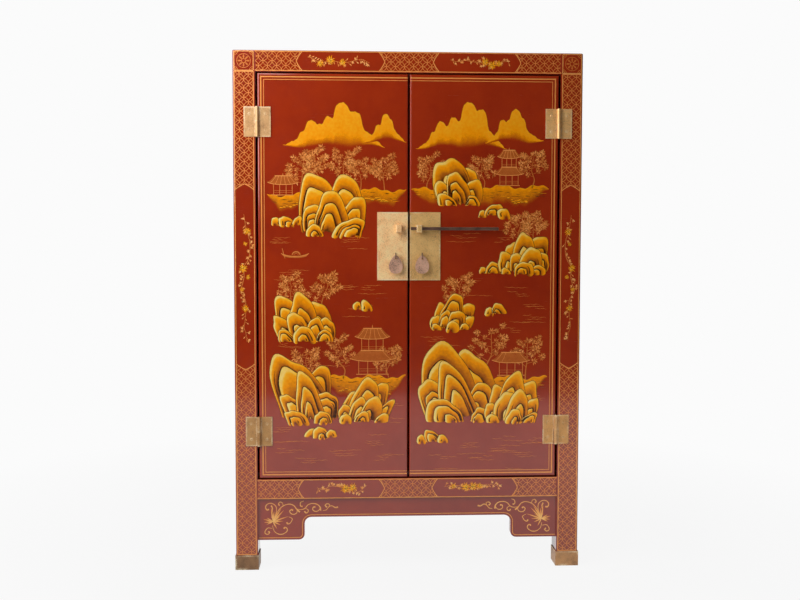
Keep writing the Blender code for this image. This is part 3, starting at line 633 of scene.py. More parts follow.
for side, sign in SIDES.items():
    gilding = new_gilding()
    inner = BRACKET_REACH + LINE_INSET
    low = apron_low.z + LINE_INSET
    high = APRON_EDGE + LINE_INSET
    lobe = BRACKET_ROUND - LINE_INSET
    hollow = BRACKET_HOLLOW + LINE_INSET
    path = [(reach - LINE_END, low), (inner + lobe, low)]
    path += list(turn((inner + lobe, low + lobe), lobe, 270, 180, 8))
    path += [(inner, high - hollow)]
    path += list(turn((inner - hollow, high - hollow), hollow, 0, 90, 12))
    path += [(0.0, high)]
    path = [(sign * right, up) for right, up in path]
    brush(gilding, path, APRON_LINE, LINE_TONE)
    heart = np.array([sign * SCROLL_HEART[0], SCROLL_HEART[1]])
    spans = np.array([-sign, 1]) / 1000
    for tip in FAN:
        angle = math.atan2(tip[1], -sign * tip[0])
        length = math.hypot(*tip) / 1000
        leaf(gilding, heart, angle, length, FAN_LEAF, LINE_TONE, LIFT + LIFT_STEP)
        leaf(gilding, heart, angle, length * 0.7, FAN_VEIN, VEIN_TONE, LIFT + 2 * LIFT_STEP)
    for scroll in SCROLLS:
        line = smooth(heart + np.array(scroll) * spans, 6)
        brush(gilding, line, TENDRIL_LINE, TENDRIL_TONE, LIFT, (0.4, 0.7, 0.75, 0.85, 1.45))
    lay_gilding(f"apron_scrolls_{side}", gilding, level(0.0, apron_low.y), "carcass")


# Door borders
# A broad and a fine gold line run round the top, the hinge side and the bottom of each door.
# They are ruled on the lacquer in coppery gold, and end just short of the edges where the doors meet.
DOOR_LINES = ((0.0085, 0.0027), (0.0147, 0.0014))  # inset from the door's edge, width
FREE_GAP = 0.0012  # a door's free edge to the lines' ends
on_doors = level(0.0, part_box("door_left")[0].y)
for side, sign in SIDES.items():
    door_low, door_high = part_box(f"door_{side}")
    hinge_edge = max(abs(door_low.x), abs(door_high.x))
    free_edge = min(abs(door_low.x), abs(door_high.x)) + FREE_GAP
    gilding = new_gilding()
    for inset, width in DOOR_LINES:
        upright_at = sign * (hinge_edge - inset)
        stop = sign * (hinge_edge - inset - width / 2)
        ends = (door_low.z + inset - width / 2, door_high.z - inset + width / 2)
        brush(gilding, [(upright_at, ends[0]), (upright_at, ends[1])], width, LINE_TONE)
        for up in (door_low.z + inset, door_high.z - inset):
            brush(gilding, [(sign * free_edge, up), (stop, up)], width, LINE_TONE)
    lay_gilding(f"door_border_{side}", gilding, on_doors, f"{side}_door")


# Side panel lines
# Each side panel has the doors' two gold lines as a frame, with stepped-in corners. They are ruled on the
# lacquer in a slightly duller coppery gold.
PANEL_INSET = 0.020  # posts and rails to the broad line
CORNER_STEP = 0.016
PANEL_TONE = 0.6


def beside(sign, panel_face, turned):
    """Lays gold on a side panel: the first flat place runs to the right as one faces it, the second up."""

    def place(right, up, lift):
        return panel_face + sign * lift, right if sign > 0 else turned - right, up

    return place


for side, sign in SIDES.items():
    panel_low, panel_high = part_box(f"side_panel_{side}")
    panel_face = sign * max(abs(panel_low.x), abs(panel_high.x))
    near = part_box(f"post_front_{side}")[1].y
    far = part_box(f"post_back_{side}")[0].y
    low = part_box(f"bottom_rail_{side}")[1].z
    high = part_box(f"top_rail_{side}")[0].z
    gilding = new_gilding()
    for inset, width in DOOR_LINES:
        gap = PANEL_INSET + inset - DOOR_LINES[0][0]
        outer = (near + gap, far - gap, low + gap, high - gap)
        inner = np.add(outer, np.array([1, -1, 1, -1]) * CORNER_STEP)
        runs = []
        for row in (2, 3):
            runs.append([(inner[0], outer[row]), (inner[1], outer[row])])
            runs += [[(outer[at], inner[row]), (inner[at], inner[row])] for at in (0, 1)]
        for row in (0, 1):
            runs.append([(outer[row], inner[2]), (outer[row], inner[3])])
            runs += [[(inner[row], outer[at]), (inner[row], inner[at])] for at in (2, 3)]
        for start, end in runs:
            overlap = np.sign(np.subtract(end, start)) * width / 2
            brush(gilding, [start - overlap, end + overlap], width, PANEL_TONE)
    lay_gilding(f"side_lines_{side}", gilding, beside(sign, panel_face, near + far), "carcass")


# Gilt landscapes on the doors
# A lake with hills, painted freehand in gold powder over the lacquer in the usual manner: far peaks that
# fade at the foot, lobed rocks with pale rims and dark lines, banks, trees, houses, a boat and ripples.
def loft(gilding, rows, tones, lift, washes=1.0, step=STROKE_STEP):
    """A sheet of gold through rows of points, each from left to right and the lowest row first."""
    rows = np.asarray(rows, float)
    height, width = rows.shape[:2]
    first = len(gilding["points"])
    lift = stroke_lift(gilding, lift, step)
    gilding["points"] += [(*point, lift) for row in rows for point in row]
    for row in range(height - 1):
        for at in range(first + row * width, first + (row + 1) * width - 1):
            gilding["faces"].append((at, at + 1, at + width + 1, at + width))
    gilding["tone"] += list(np.broadcast_to(tones, (height, width)).ravel())
    gilding["wash"] += list(np.broadcast_to(washes, (height, width)).ravel())


ROCK_LIFT = LIFT + 3 * LIFT_STEP
FRONT_LIFT = ROCK_LIFT + 6 * LIFT_STEP  # of a rock that stands before another
OUTLINE = 0.0022
CREVICE = 0.0034  # widest dark line in a rock
MOST_SHELLS = 3
SHELL_WIDTH = 0.011
SHELL_ROWS = (  # share of the way from a shell's inner edge to its rim, how pale and how umber it is there
    (0.0, 0.0, 1.0),
    (0.12, 0.0, 0.9),
    (0.3, 0.0, 0.45),
    (0.55, 0.0, 0.1),
    (0.74, 0.2, 0.0),
    (0.84, 1.0, 0.0),
    (0.97, 1.0, 0.0),
)


def rock_lobe(gilding, foot, tip, half, lift, rng, dark):
    """One lobe of a rock: shells nested round its foot, each pale along its rim and umber further in."""
    foot = np.array(foot, float)
    axis = np.array(tip, float) - foot
    length = np.linalg.norm(axis)
    heart = rng.uniform(-0.55, 0.55)
    lean = rng.uniform(-0.4, 0.4)
    round_top = rng.uniform(0.7, 1.1)
    bulges = []
    for size, count in ((0.08, 3), (0.035, 7)):
        bulges.append((size * rng.uniform(0.4, 1.0), count, rng.uniform(0, 6)))
    shells = max(1, min(MOST_SHELLS, round(half / SHELL_WIDTH)))
    rims = np.linspace(0.0, 1.0, shells + 1) ** 0.85
    rims[0] = 0.04
    rims[1:-1] += [rng.uniform(-0.32, 0.32) / shells for rim in rims[1:-1]]
    toes = [rng.uniform(0.1, 0.7) * half / shells / length for rim in rims[1:]]

    def spot(angle, scale, toe):
        swell = 1 + sum(size * np.sin(count * angle + phase) for size, count, phase in bulges)
        up = np.abs(np.cos(angle)) ** round_top * swell * scale
        side = heart * (1 - scale) + np.sin(angle) * swell * scale + lean * up**2
        rise = up - toe * np.sin(angle) ** 8
        return foot + np.stack([half * side, np.zeros_like(side)], axis=-1) + rise[..., None] * axis

    angles = np.linspace(-0.5, 0.5, 31) * math.pi
    low = 1 - np.cos(angles)
    lit = np.clip(0.6 - 0.5 * np.sin(angles), 0, 1)
    rows, tones = [], []
    for inner, outer, toe in zip(rims, rims[1:], toes):
        for share, pale, umber in SHELL_ROWS:
            bow = 2 * toe * math.sqrt(share * (1 - share))
            rows.append(spot(angles, inner + share * (outer - inner), bow))
            shade = umber * (0.3 + 0.3 * low) + 0.44 * dark * low**1.4 + 0.14 * (1 - lit)
            tones.append(0.63 + 0.08 * (1 - dark) + 0.4 * pale * lit - shade)
    rows.append(spot(angles, 1.0, 0.0))
    tones.append(0.66 + 0.38 * lit - 0.4 * dark * low**1.4)
    loft(gilding, rows, np.clip(tones, 0.05, 1), lift, step=0.0)
    brush(gilding, rows[-1], OUTLINE, 0.06, lift - 0.15 * LIFT_STEP, step=0.0)
    width = min(CREVICE, half / shells * 0.38)
    for rim in rims[1:-1]:
        arc = np.linspace(rng.uniform(-0.5, -0.2), 0.5, 25) * rng.choice((-1, 1)) * math.pi
        line = spot(arc, rim, 0.0)
        brush(gilding, line, width, 0.0, lift + 0.2 * LIFT_STEP, (0.1, 0.6, 0.7, 1.0, 1.0), step=0.0)
    for inner, outer in zip(rims, rims[1:]):
        hand = rng.choice((-1, 1))
        arc = np.linspace(0.5, rng.uniform(0.12, 0.3), 15) * hand * math.pi
        line = spot(arc, inner + rng.uniform(0.4, 0.65) * (outer - inner), 0.0)
        brush(gilding, line, width, 0.04, lift + 0.28 * LIFT_STEP, (1.0, 0.8, 0.5, 0.06), step=0.0)


def rock(gilding, foot, height, width, seed, lean=0.0, base=ROCK_LIFT):
    """A rock: tall lobes behind, shorter ones before them and boulders at its foot."""
    rng = random.Random(seed)
    back = max(2, round(1.5 * width / height) + 1)
    lobes = []
    for count, low, high, stretch, tilt, fat, plump, drop, dark in (
        (back, 0.84, 1.04, 0.5, 0.25, 0.9, 0.42, 0.0, 1.0),
        (back + 1, 0.46, 0.66, 0.8, 0.5, 0.8, 0.5, -0.03, 0.6),
        (back, 0.2, 0.3, 0.95, 0.4, 0.62, 0.8, -0.1, 0.2),
    ):
        tier = []
        for number in range(count):
            share = (2 * number + 1) / count - 1 + rng.uniform(-0.3, 0.3) / count
            size = height * (1 - 0.4 * abs(share - lean) ** 1.2) * rng.uniform(low, high)
            half = min(width / count * fat * rng.uniform(0.7, 1.3), size * plump)
            tier.append((share * stretch, drop, size, tilt * share + 0.6 * lean, half, dark))
        tier.sort(key=lambda lobe: -abs(lobe[0] - lean * 0.66))
        lobes += tier
    for rank, (share, drop, size, tilt, half, dark) in enumerate(lobes):
        root = (foot[0] + share * width / 2, foot[1] + drop * height)
        tip = (root[0] + size * math.sin(tilt), root[1] + size * math.cos(tilt))
        rock_lobe(gilding, root, tip, half, base + 0.55 * rank * LIFT_STEP, rng, dark)


def stones(gilding, middle, size, count, seed):
    """A few round stones standing in the water."""
    rng = random.Random(seed)
    for number in range(count):
        share = number - (count - 1) / 2
        large = size * rng.uniform(0.7, 1.0) * (1.25 if number == count // 2 else 0.85)
        root = (middle[0] + share * size * 1.05, middle[1] + rng.uniform(-0.15, 0.15) * size)
        tip = (root[0] + rng.uniform(-0.25, 0.25) * large, root[1] + large)
        half = large * rng.uniform(0.6, 0.85)
        rock_lobe(gilding, root, tip, half, ROCK_LIFT + number * LIFT_STEP, rng, 0.2)


def wobble(at, waves, rng):
    """A freehand unevenness along a line, from waves of a size and a pace."""
    return sum(size * np.sin(at * pace + rng.uniform(0, 6)) for size, pace in waves)


def peaks(gilding, humps, base, seed):
    """Far hills whose gold is full at the ridge and fades to nothing at the foot."""
    rng = random.Random(seed)
    start = min(middle - half for middle, height, half in humps)
    end = max(middle + half for middle, height, half in humps)
    right = np.linspace(start, end, 120)
    ridge = np.zeros_like(right)
    for middle, height, half in humps:
        away = np.clip(np.abs(right - middle) / half, 0, 1)
        ridge = np.maximum(ridge, height * 0.8 * (1 - away) ** 1.15)
        for offset, size, share in ((0.0, 0.2, 1.0), (-0.36, 0.13, 0.64), (0.25, 0.2, 0.8)):
            knob = middle + (offset + rng.uniform(-0.06, 0.06)) * half
            away = np.clip(np.abs(right - knob) / (size * half), 0, 1)
            ridge = np.maximum(ridge, height * share * (0.7 + 0.3 * np.sqrt(1 - away**2)) * (away < 1))
    ridge = np.convolve(np.pad(ridge, 2, "edge"), (0.1, 0.2, 0.4, 0.2, 0.1), "valid")
    ridge = np.maximum(ridge + wobble(right, ((0.0008, 310), (0.0006, 690)), rng), 0.0012)
    foot = base + wobble(right, ((0.004, 60),), rng)
    shares = np.array([0.0, 0.18, 0.36, 0.6, 0.88, 1.0])
    rows = np.stack([np.stack([right, foot + share * ridge], axis=1) for share in shares])
    tones = np.array([0.45, 0.5, 0.56, 0.6, 0.6, 0.66])[:, None]
    washes = np.array([0.0, 0.4, 0.75, 1.0, 1.0, 1.0])[:, None]
    loft(gilding, rows, tones, LIFT, washes)


LEAF_TONE = 0.33


def cluster(gilding, middle, size, angle, rng):
    """A spray of leaf strokes round the end of a twig."""
    for number in range(8):
        glint = rng.choice((-0.1, 0.0, 0.1, 0.25, 0.45))
        bearing = angle + (number - 3.5) * 0.62 + rng.uniform(-0.2, 0.2)
        root = np.array(middle) + 0.2 * size * heading(bearing)
        lift = LIFT + rng.uniform(0, 0.9) * LIFT_STEP
        leaf(gilding, root, bearing, size * rng.uniform(0.6, 1.05), size * 0.28, LEAF_TONE + glint, lift)


GROVE_TONE = 0.34
LEAF_SIZE = 0.0085
BOUGHS = 8


def garden_tree(gilding, root, height, lean, seed):
    """A garden tree: a bent trunk, boughs to both sides and sprays of leaves."""
    rng = random.Random(seed)
    points = [np.array(root, float)]
    for step in range(1, 5):
        share = step / 4
        side = lean * share + rng.uniform(-0.07, 0.07)
        points.append(np.array([root[0] + side * height, root[1] + share * height * 0.86]))
    trunk = smooth(points, 6)
    brush(gilding, trunk, height * 0.032, GROVE_TONE, LIFT, (1.0, 0.75, 0.55, 0.3))
    cluster(gilding, trunk[-1], LEAF_SIZE * 1.1, math.pi / 2, rng)
    for number in range(BOUGHS):
        share = 0.36 + 0.6 * number / (BOUGHS - 1)
        at = trunk[int(share * (len(trunk) - 1))]
        hand = 1 if number % 2 else -1
        angle = math.pi / 2 - hand * rng.uniform(0.75, 1.3)
        length = height * rng.uniform(0.24, 0.42) * (1.2 - 0.6 * share)
        bend = at + 0.5 * length * heading(angle) + np.array([0, -0.06 * length])
        tip = at + length * heading(angle)
        brush(gilding, smooth([at, bend, tip], 4), height * 0.013, GROVE_TONE, LIFT, (1.0, 0.4))
        for place in (bend, tip, tip + 0.6 * LEAF_SIZE * np.array([hand, 0.7])):
            cluster(gilding, place, LEAF_SIZE * rng.uniform(0.75, 1.15), angle, rng)


GROUND_LINE = 0.0013


def bank(gilding, left, right, top, depth, seed):
    """A low shore: gold that fades downwards into the lacquer, with ground lines and small stones."""
    rng = random.Random(seed)
    across = np.linspace(left, right, 60)
    share = (across - left) / (right - left)
    edge = top + wobble(across, ((0.004, 75), (0.002, 230)), rng)
    taper = np.minimum(1, 5 * np.minimum(share, 1 - share)) + 0.05
    rows = [np.stack([across, edge - (1 - rise) * depth * taper], axis=1) for rise in (0, 0.35, 0.7, 1)]
    tones = np.array([0.3, 0.36, 0.45, 0.56])[:, None]
    washes = np.array([0.0, 0.5, 0.8, 0.95])[:, None]
    loft(gilding, rows, tones, LIFT, washes)
    brush(gilding, rows[-1], GROUND_LINE, 0.66, LIFT + LIFT_STEP, (0.3, 1.0, 0.6, 1.0, 0.3))
    for number in range(int((right - left) / 0.005)):
        at = rng.uniform(left, right - 0.012)
        up = np.interp(at, across, edge) - rng.uniform(0.1, 0.8) * depth * 0.8
        run = rng.uniform(0.006, 0.018)
        line = [(at, up), (at + run / 2, up + rng.uniform(-0.001, 0.001)), (at + run, up)]
        brush(gilding, line, GROUND_LINE, rng.choice((0.05, 0.1, 0.58)), LIFT + LIFT_STEP, (0.1, 1.0, 0.1))
    for group in range(2):
        at = rng.uniform(left + 0.02, right - 0.06)
        for number in range(rng.randint(4, 7)):
            at += rng.uniform(0.006, 0.009)
            up = np.interp(at, across, edge) - depth * rng.uniform(0.62, 0.8)
            size = rng.uniform(0.006, 0.010)
            leaf(gilding, (at, up), rng.uniform(-0.2, 0.2), size, 0.0036, 0.62, LIFT + LIFT_STEP)
            leaf(gilding, (at, up - 0.0012), 0.0, size, 0.0014, 0.1, LIFT + 1.6 * LIFT_STEP)


WATER_ENDS = (0.008, 0.322)  # middle of the cupboard to where the water lines end
WATER_LINE = 0.0009


def ripples(gilding, spots, seed):
    """Fine wavy water lines: a short group at each spot and a long single one near it."""
    rng = random.Random(seed)
    runs = []
    for right, up in spots:
        for row in range(3):
            runs.append((right + rng.uniform(-0.016, 0.016), up + 0.0048 * row, rng.uniform(0.02, 0.055)))
        start = right + rng.uniform(-0.03, 0.01)
        runs.append((start, up + rng.uniform(-0.03, 0.03), rng.uniform(0.04, 0.075)))
    for start, up, run in runs:
        low, high = sorted(math.copysign(end, start) for end in WATER_ENDS)
        across = np.linspace(max(low, start), min(high, start + run), 17)
        wave = up + 0.0006 * np.sin((across - start) * 420) + 0.0007 * np.sin(across * 90)
        line = np.stack([across, wave], axis=1)
        brush(gilding, line, WATER_LINE, 0.46, LIFT, (0.2, 1.0, 0.5, 0.9, 0.2), rng.uniform(0.6, 0.95))


TILE_LINE = 0.0009
EAVE_LINE = 0.0014
RIDGE_LINE = 0.0022


def roof(gilding, middle, eave, width, height, lift):
    """A tiled roof with upturned eaves: a thin wash of gold with paler edges and tile lines."""
    shares = np.linspace(-1, 1, 13)
    low = np.stack([middle + shares * width / 2, eave + 0.26 * height * np.abs(shares) ** 3], axis=1)
    high = np.stack([middle + shares * width * 0.26, np.full(13, eave + height)], axis=1)
    sag = (low + high) / 2 - [0, 0.08 * height]
    loft(gilding, [low, sag, high], np.array([0.4, 0.34, 0.44])[:, None], lift, 0.42)
    for start, end in zip(low[1:-1:2], high[1:-1:2]):
        tile = [start, (start + end) / 2 - [0, 0.07 * height], end]
        brush(gilding, tile, TILE_LINE, 0.62, lift + LIFT_STEP / 2)
    brush(gilding, low, EAVE_LINE, 0.72, lift + LIFT_STEP)
    brush(gilding, high[[0, 6, 12]], RIDGE_LINE, 0.7, lift + LIFT_STEP)


PLINTH_LINE = 0.0020
PILLAR_LINE = 0.0013
RAIL_LINE = 0.0007
FINIAL_LINE = 0.0022


def pavilion(gilding, middle, ground, width, height, floors=1):
    """A garden house: a plinth, posts, a low rail and one roof to each floor."""
    lift = LIFT + LIFT_STEP
    for floor in range(floors):
        base = ground + floor * height * 0.78
        body = width * (1 - 0.22 * floor)
        wall = height * 0.46
        plinth = [(middle - body * 0.45, base), (middle + body * 0.45, base)]
        brush(gilding, plinth, PLINTH_LINE, 0.55, lift)
        for share in (-0.38, -0.13, 0.13, 0.38):
            post = middle + share * body
            brush(gilding, [(post, base), (post, base + wall * 1.1)], PILLAR_LINE, 0.55, lift)
        for share in (0.25, 0.42):
            up = base + share * wall
            rail = [(middle - body * 0.38, up), (middle + body * 0.38, up)]
            brush(gilding, rail, RAIL_LINE, 0.45, lift - LIFT_STEP / 2)
        roof(gilding, middle, base + wall, body * 1.25, height * 0.38, lift + LIFT_STEP)
    top = ground + (floors - 1) * height * 0.78 + height * 0.84
    finial = [(middle, top), (middle, top + height * 0.12)]
    brush(gilding, finial, FINIAL_LINE, 0.6, lift, (1.0, 0.3))


GUNWALE_LINE = 0.0013
HOOD_LINE = 0.0014
HOOP_LINE = 0.0008
POLE_LINE = 0.0011


def boat(gilding, middle, water, length):
    """A covered boat with a pole set in the water beside it."""
    shares = np.linspace(-1, 1, 13)
    rise = 0.10 * length * np.abs(shares) ** 2.5
    top = np.stack([middle + shares * length / 2, water + 0.06 * length + rise], axis=1)
    keel = np.stack([middle + shares * length * 0.4, water + 0.5 * rise], axis=1)
    loft(gilding, [keel, top], np.array([0.3, 0.5])[:, None], LIFT)
    brush(gilding, top, GUNWALE_LINE, 0.7, LIFT + LIFT_STEP)
    hood = (middle + 0.04 * length, water + 0.08 * length)
    brush(gilding, turn(hood, 0.15 * length, 10, 170, 14), HOOD_LINE, 0.6, LIFT)
    for share in (0.35, 0.65):
        arch = turn(hood, 0.15 * length * share + 0.03 * length, 15, 165, 10)
        brush(gilding, arch, HOOP_LINE, 0.45, LIFT)
    head = (middle - 0.46 * length, water + 0.34 * length)
    point = (middle - 0.36 * length, water - 0.02 * length)
    brush(gilding, [head, point], POLE_LINE, 0.55, LIFT + 2 * LIFT_STEP)


LEFT_WATER = (
    (-0.31, 0.765), (-0.15, 0.765), (-0.29, 0.69), (-0.17, 0.655), (-0.13, 0.61), (-0.11, 0.655),
    (-0.29, 0.520), (-0.21, 0.50), (-0.06, 0.385), (-0.06, 0.345), (-0.31, 0.325), (-0.10, 0.292),
    (-0.30, 0.276), (-0.18, 0.268), (-0.07, 0.256), (-0.25, 0.252),
)
RIGHT_WATER = (
    (0.11, 0.775), (0.20, 0.765), (0.12, 0.665), (0.24, 0.640), (0.28, 0.610), (0.04, 0.535),
    (0.28, 0.585), (0.23, 0.555), (0.28, 0.395), (0.13, 0.285), (0.21, 0.300), (0.28, 0.295),
    (0.06, 0.258), (0.16, 0.255), (0.25, 0.262), (0.20, 0.272),
)
PICTURES = {  # what is painted, where (right of the middle and up from the floor), how large, and its seed
    "landscape_left": (
        (peaks, ((-0.222, 0.062, 0.066), (-0.150, 0.104, 0.094)), 0.982, 1),
        (peaks, ((-0.056, 0.058, 0.050),), 0.996, 2),
        (bank, -0.325, -0.190, 0.872, 0.034, 3),
        (bank, -0.150, -0.006, 0.884, 0.034, 4),
        (rock, (-0.176, 0.796), 0.166, 0.150, 8, 0.1),
        (stones, (-0.280, 0.806), 0.022, 3, 9),
        (rock, (-0.234, 0.548), 0.116, 0.140, 12, -0.2),
        (stones, (-0.108, 0.612), 0.022, 2, 43),
        (bank, -0.205, -0.006, 0.452, 0.046, 13),
        (rock, (-0.106, 0.358), 0.104, 0.124, 16, 0.2, FRONT_LIFT),
        (rock, (-0.226, 0.362), 0.170, 0.108, 44, -0.2),
        (stones, (-0.205, 0.312), 0.024, 3, 17),
    ),
    "groves_left": (
        (garden_tree, (-0.250, 0.872), 0.096, 0.04, 5),
        (garden_tree, (-0.112, 0.880), 0.076, -0.06, 6),
        (garden_tree, (-0.056, 0.882), 0.082, 0.02, 7),
        (garden_tree, (-0.150, 0.890), 0.090, 0.06, 41),
        (garden_tree, (-0.205, 0.890), 0.092, -0.1, 42),
        (pavilion, -0.289, 0.872, 0.056, 0.052),
        (boat, -0.262, 0.728, 0.064),
        (garden_tree, (-0.272, 0.610), 0.080, 0.0, 10),
        (garden_tree, (-0.205, 0.600), 0.096, 0.16, 11),
        (pavilion, -0.084, 0.458, 0.084, 0.066, 2),
        (garden_tree, (-0.046, 0.450), 0.074, -0.02, 14),
        (garden_tree, (-0.152, 0.448), 0.100, -0.1, 15),
        (garden_tree, (-0.240, 0.436), 0.084, 0.1, 45),
        (ripples, LEFT_WATER, 18),
    ),
    "landscape_right": (
        (peaks, ((0.076, 0.056, 0.060), (0.138, 0.108, 0.088)), 0.982, 21),
        (peaks, ((0.244, 0.074, 0.068),), 0.996, 22),
        (bank, 0.006, 0.150, 0.886, 0.034, 23),
        (bank, 0.130, 0.325, 0.892, 0.042, 24),
        (rock, (0.120, 0.862), 0.112, 0.104, 27, -0.2),
        (stones, (0.196, 0.826), 0.024, 3, 28),
        (rock, (0.266, 0.702), 0.102, 0.106, 30, 0.1),
        (stones, (0.186, 0.696), 0.022, 2, 31),
        (rock, (0.098, 0.570), 0.080, 0.110, 33, 0.2),
        (stones, (0.200, 0.600), 0.022, 2, 48),
        (bank, 0.150, 0.325, 0.448, 0.046, 34),
        (rock, (0.124, 0.368), 0.206, 0.162, 37, -0.2),
        (rock, (0.240, 0.356), 0.116, 0.130, 38, 0.2, FRONT_LIFT),
        (stones, (0.056, 0.300), 0.024, 3, 39),
    ),
    "groves_right": (
        (garden_tree, (0.042, 0.880), 0.086, 0.06, 25),
        (garden_tree, (0.174, 0.888), 0.074, -0.06, 26),
        (garden_tree, (0.286, 0.890), 0.090, 0.0, 46),
        (pavilion, 0.232, 0.896, 0.056, 0.050, 2),
        (garden_tree, (0.256, 0.750), 0.084, 0.0, 29),
        (garden_tree, (0.292, 0.760), 0.074, -0.05, 47),
        (garden_tree, (0.120, 0.600), 0.094, 0.02, 32),
        (garden_tree, (0.274, 0.444), 0.104, 0.0, 35),
        (garden_tree, (0.186, 0.452), 0.120, 0.0, 36),
        (pavilion, 0.240, 0.454, 0.072, 0.064),
        (ripples, RIGHT_WATER, 40),
    ),
}
for name, works in PICTURES.items():
    layer, side = name.split("_")
    gilding = new_gilding()
    for draw, *values in works:
        draw(gilding, *values)
    gold = YELLOW_GILT if layer == "landscape" else COPPERY_GILT
    lay_gilding(name, gilding, on_doors, f"{side}_door", gold)


# Brass fittings
# Hinges, lock plates, staples and foot caps are cut from brass, hammered flat and filed by hand, and the
# pulls' eyes are bent from brass wire. They have dulled to a straw colour, with paler edges that are partly
# rubbed and partly painted highlight. The two pieces of each pair, and the upper and lower hinges, get
# their own lighter or darker colours, and the wire eyes a dark brown.
PATINA, takes, gives = make_group(
    "patina",
    [
        ("Bright", "Color", paint(236, 202, 142)),
        ("Dull", "Color", paint(186, 140, 84)),
        ("Dark", "Color", paint(112, 84, 56)),
        ("Dark Share", "Float", 0.3),
    ],
    [("Colour", "Color"), ("Roughness", "Float"), ("Height", "Float")],
)
tree = PATINA
place = rest_place(tree)
blotches = grain(tree, place, 34.0, 6.0, 0.62)
flecks = grain(tree, place, 420.0, 4.0, 0.7)
colour = mix_colours(tree, spread(tree, blotches, 0.3, 0.7), takes["Bright"], takes["Dull"])
colour = mix_colours(tree, spread(tree, flecks, 0.5, 0.72, 0.0, 0.34), colour, takes["Dark"])
spots = spread(tree, calc(tree, "MULTIPLY", blotches, flecks), 0.27, 0.4)
colour = mix_colours(tree, calc(tree, "MULTIPLY", spots, takes["Dark Share"]), colour, takes["Dark"])
rough = spread(tree, flecks, 0.3, 0.7, 0.32, 0.52)
values = {"Vector": place, "Scale": 120.0, "Smoothness": 0.6}
dents = add_node(tree, "ShaderNodeTexVoronoi", values, feature="SMOOTH_F1").outputs["Distance"]
height = calc(tree, "ADD", dents, calc(tree, "MULTIPLY", flecks, 0.15))
feed(tree, {"Colour": colour, "Roughness": rough, "Height": height}, gives)


def metal_material(name, polish, patina, edges, rubbed, share, dents):
    """Metal under a patina. Its edges take a share of a paler colour, rubbed wear and on the brass also
    painted highlight, and its dents have a strength and a depth."""
    material, tree, shader = new_material(name, {"Metallic": polish})
    metal = use_group(tree, PATINA, patina)
    wear_and_painted_light = use_group(tree, EDGE_WEAR_AND_LIGHT, edges)["Wear And Painted Light"]
    # Edges paled: rubbed wear, and on the brass also painted highlight.
    colour = mix_colours(tree, spread(tree, wear_and_painted_light, 0.0, 1.0, 0.0, share), metal["Colour"], rubbed)
    feed(tree, {"Base Color": colour, "Roughness": metal["Roughness"]}, shader.inputs)
    bump(tree, shader, metal["Height"], *dents)
    return material


# Pale edge colour of the brass: partly rubbed brass, partly painted highlight.
RUBBED_BRASS_AND_HIGHLIGHT = paint(255, 236, 196)
BRASS_EDGE = 0.006
BRASS_DENTS = (0.22, 0.0012)
BRASSES = {  # bright and dull colour, share of dark spots, how strongly the edges are paled (wear and painted highlight), polish
    "lock_brass_left": ((255, 226, 166), (255, 194, 132), 0.2, 1.8, 0.3),
    "lock_brass_right": ((244, 200, 128), (224, 174, 106), 0.3, 1.8, 0.42),
    "hinge_brass_left": ((218, 172, 118), (184, 136, 86), 0.3, 1.8, 0.42),
    "hinge_brass_right": ((255, 208, 138), (242, 178, 108), 0.3, 1.8, 0.42),
    "lower_hinge_brass_left": ((208, 160, 102), (174, 124, 72), 0.3, 1.8, 0.42),
    "lower_hinge_brass_right": ((228, 172, 106), (198, 142, 82), 0.3, 1.8, 0.42),
    "cap_brass_left": ((164, 122, 84), (122, 90, 64), 0.7, 1.8, 0.42),
    "cap_brass_right": ((206, 154, 104), (164, 120, 82), 0.6, 1.8, 0.42),
    "wire_brass_left": ((118, 84, 58), (84, 58, 40), 0.3, 0.1, 0.42),
    "wire_brass_right": ((110, 78, 54), (78, 54, 38), 0.3, 0.1, 0.42),
}
KINDS = {"lock": "lock", "hinge": "hinge", "lower": "lower_hinge", "foot": "cap", "pull": "wire"}
brasses = {}
for name, (bright, dull, dark_share, edge_marks, polish) in BRASSES.items():
    patina = {"Bright": paint(*bright), "Dull": paint(*dull), "Dark Share": dark_share}
    edges = {"Width": BRASS_EDGE, "Amount": edge_marks}
    brasses[name] = metal_material(name, polish, patina, edges, RUBBED_BRASS_AND_HIGHLIGHT, 0.9, BRASS_DENTS)
for name in nodes_in("aged_brass"):
    kind = KINDS["lower" if "lower" in name else name.split("_")[0]]
    side = "right" if "right" in name else "left"
    finish_node(name, brasses[f"{kind}_brass_{side}"])


# Lock pin and pulls
# The pin is forged and the egg-shaped pulls are cast, both in bronze with a purple-brown patina that
# handling has rubbed lighter on the edges. The pin slides in the staples, and the pulls hang on eyes.
DARK_BRONZE = paint(66, 48, 42)
RUBBED_BRONZE = paint(206, 170, 140)
BRONZE_EDGE = 0.001
BRONZE_DENTS = (0.1, 0.0006)
BRONZES = {  # bright and dull colour
    "pin_bronze": ((112, 82, 66), (70, 48, 38)),
    "pull_bronze": ((240, 190, 160), (206, 158, 134)),
}
bronzes = {}
for name, (bright, dull) in BRONZES.items():
    patina = {"Bright": paint(*bright), "Dull": paint(*dull), "Dark": DARK_BRONZE, "Dark Share": 0.6}
    edges = {"Width": BRONZE_EDGE}
    bronzes[name] = metal_material(name, 0.55, patina, edges, RUBBED_BRONZE, 0.5, BRONZE_DENTS)
for name in nodes_in("dark_bronze"):
    finish_node(name, bronzes["pin_bronze" if name == "lock_pin" else "pull_bronze"])


# Studio floor, dark cards and lamps
# A white paper floor in a white surround. A ring of dark cards, seen only in reflections, keeps the gloss
# deep. A large soft key lamp stands at the front left, and five hidden from the gloss light the rest.
def seen_itself(tree):
    """One for rays that show a thing itself, straight or mirrored, and nought for the others."""
    rays = add_node(tree, "ShaderNodeLightPath").outputs
    seen = calc(tree, "MAXIMUM", rays["Is Camera Ray"], rays["Is Glossy Ray"])
    return calc(tree, "MAXIMUM", seen, rays["Is Transmission Ray"])


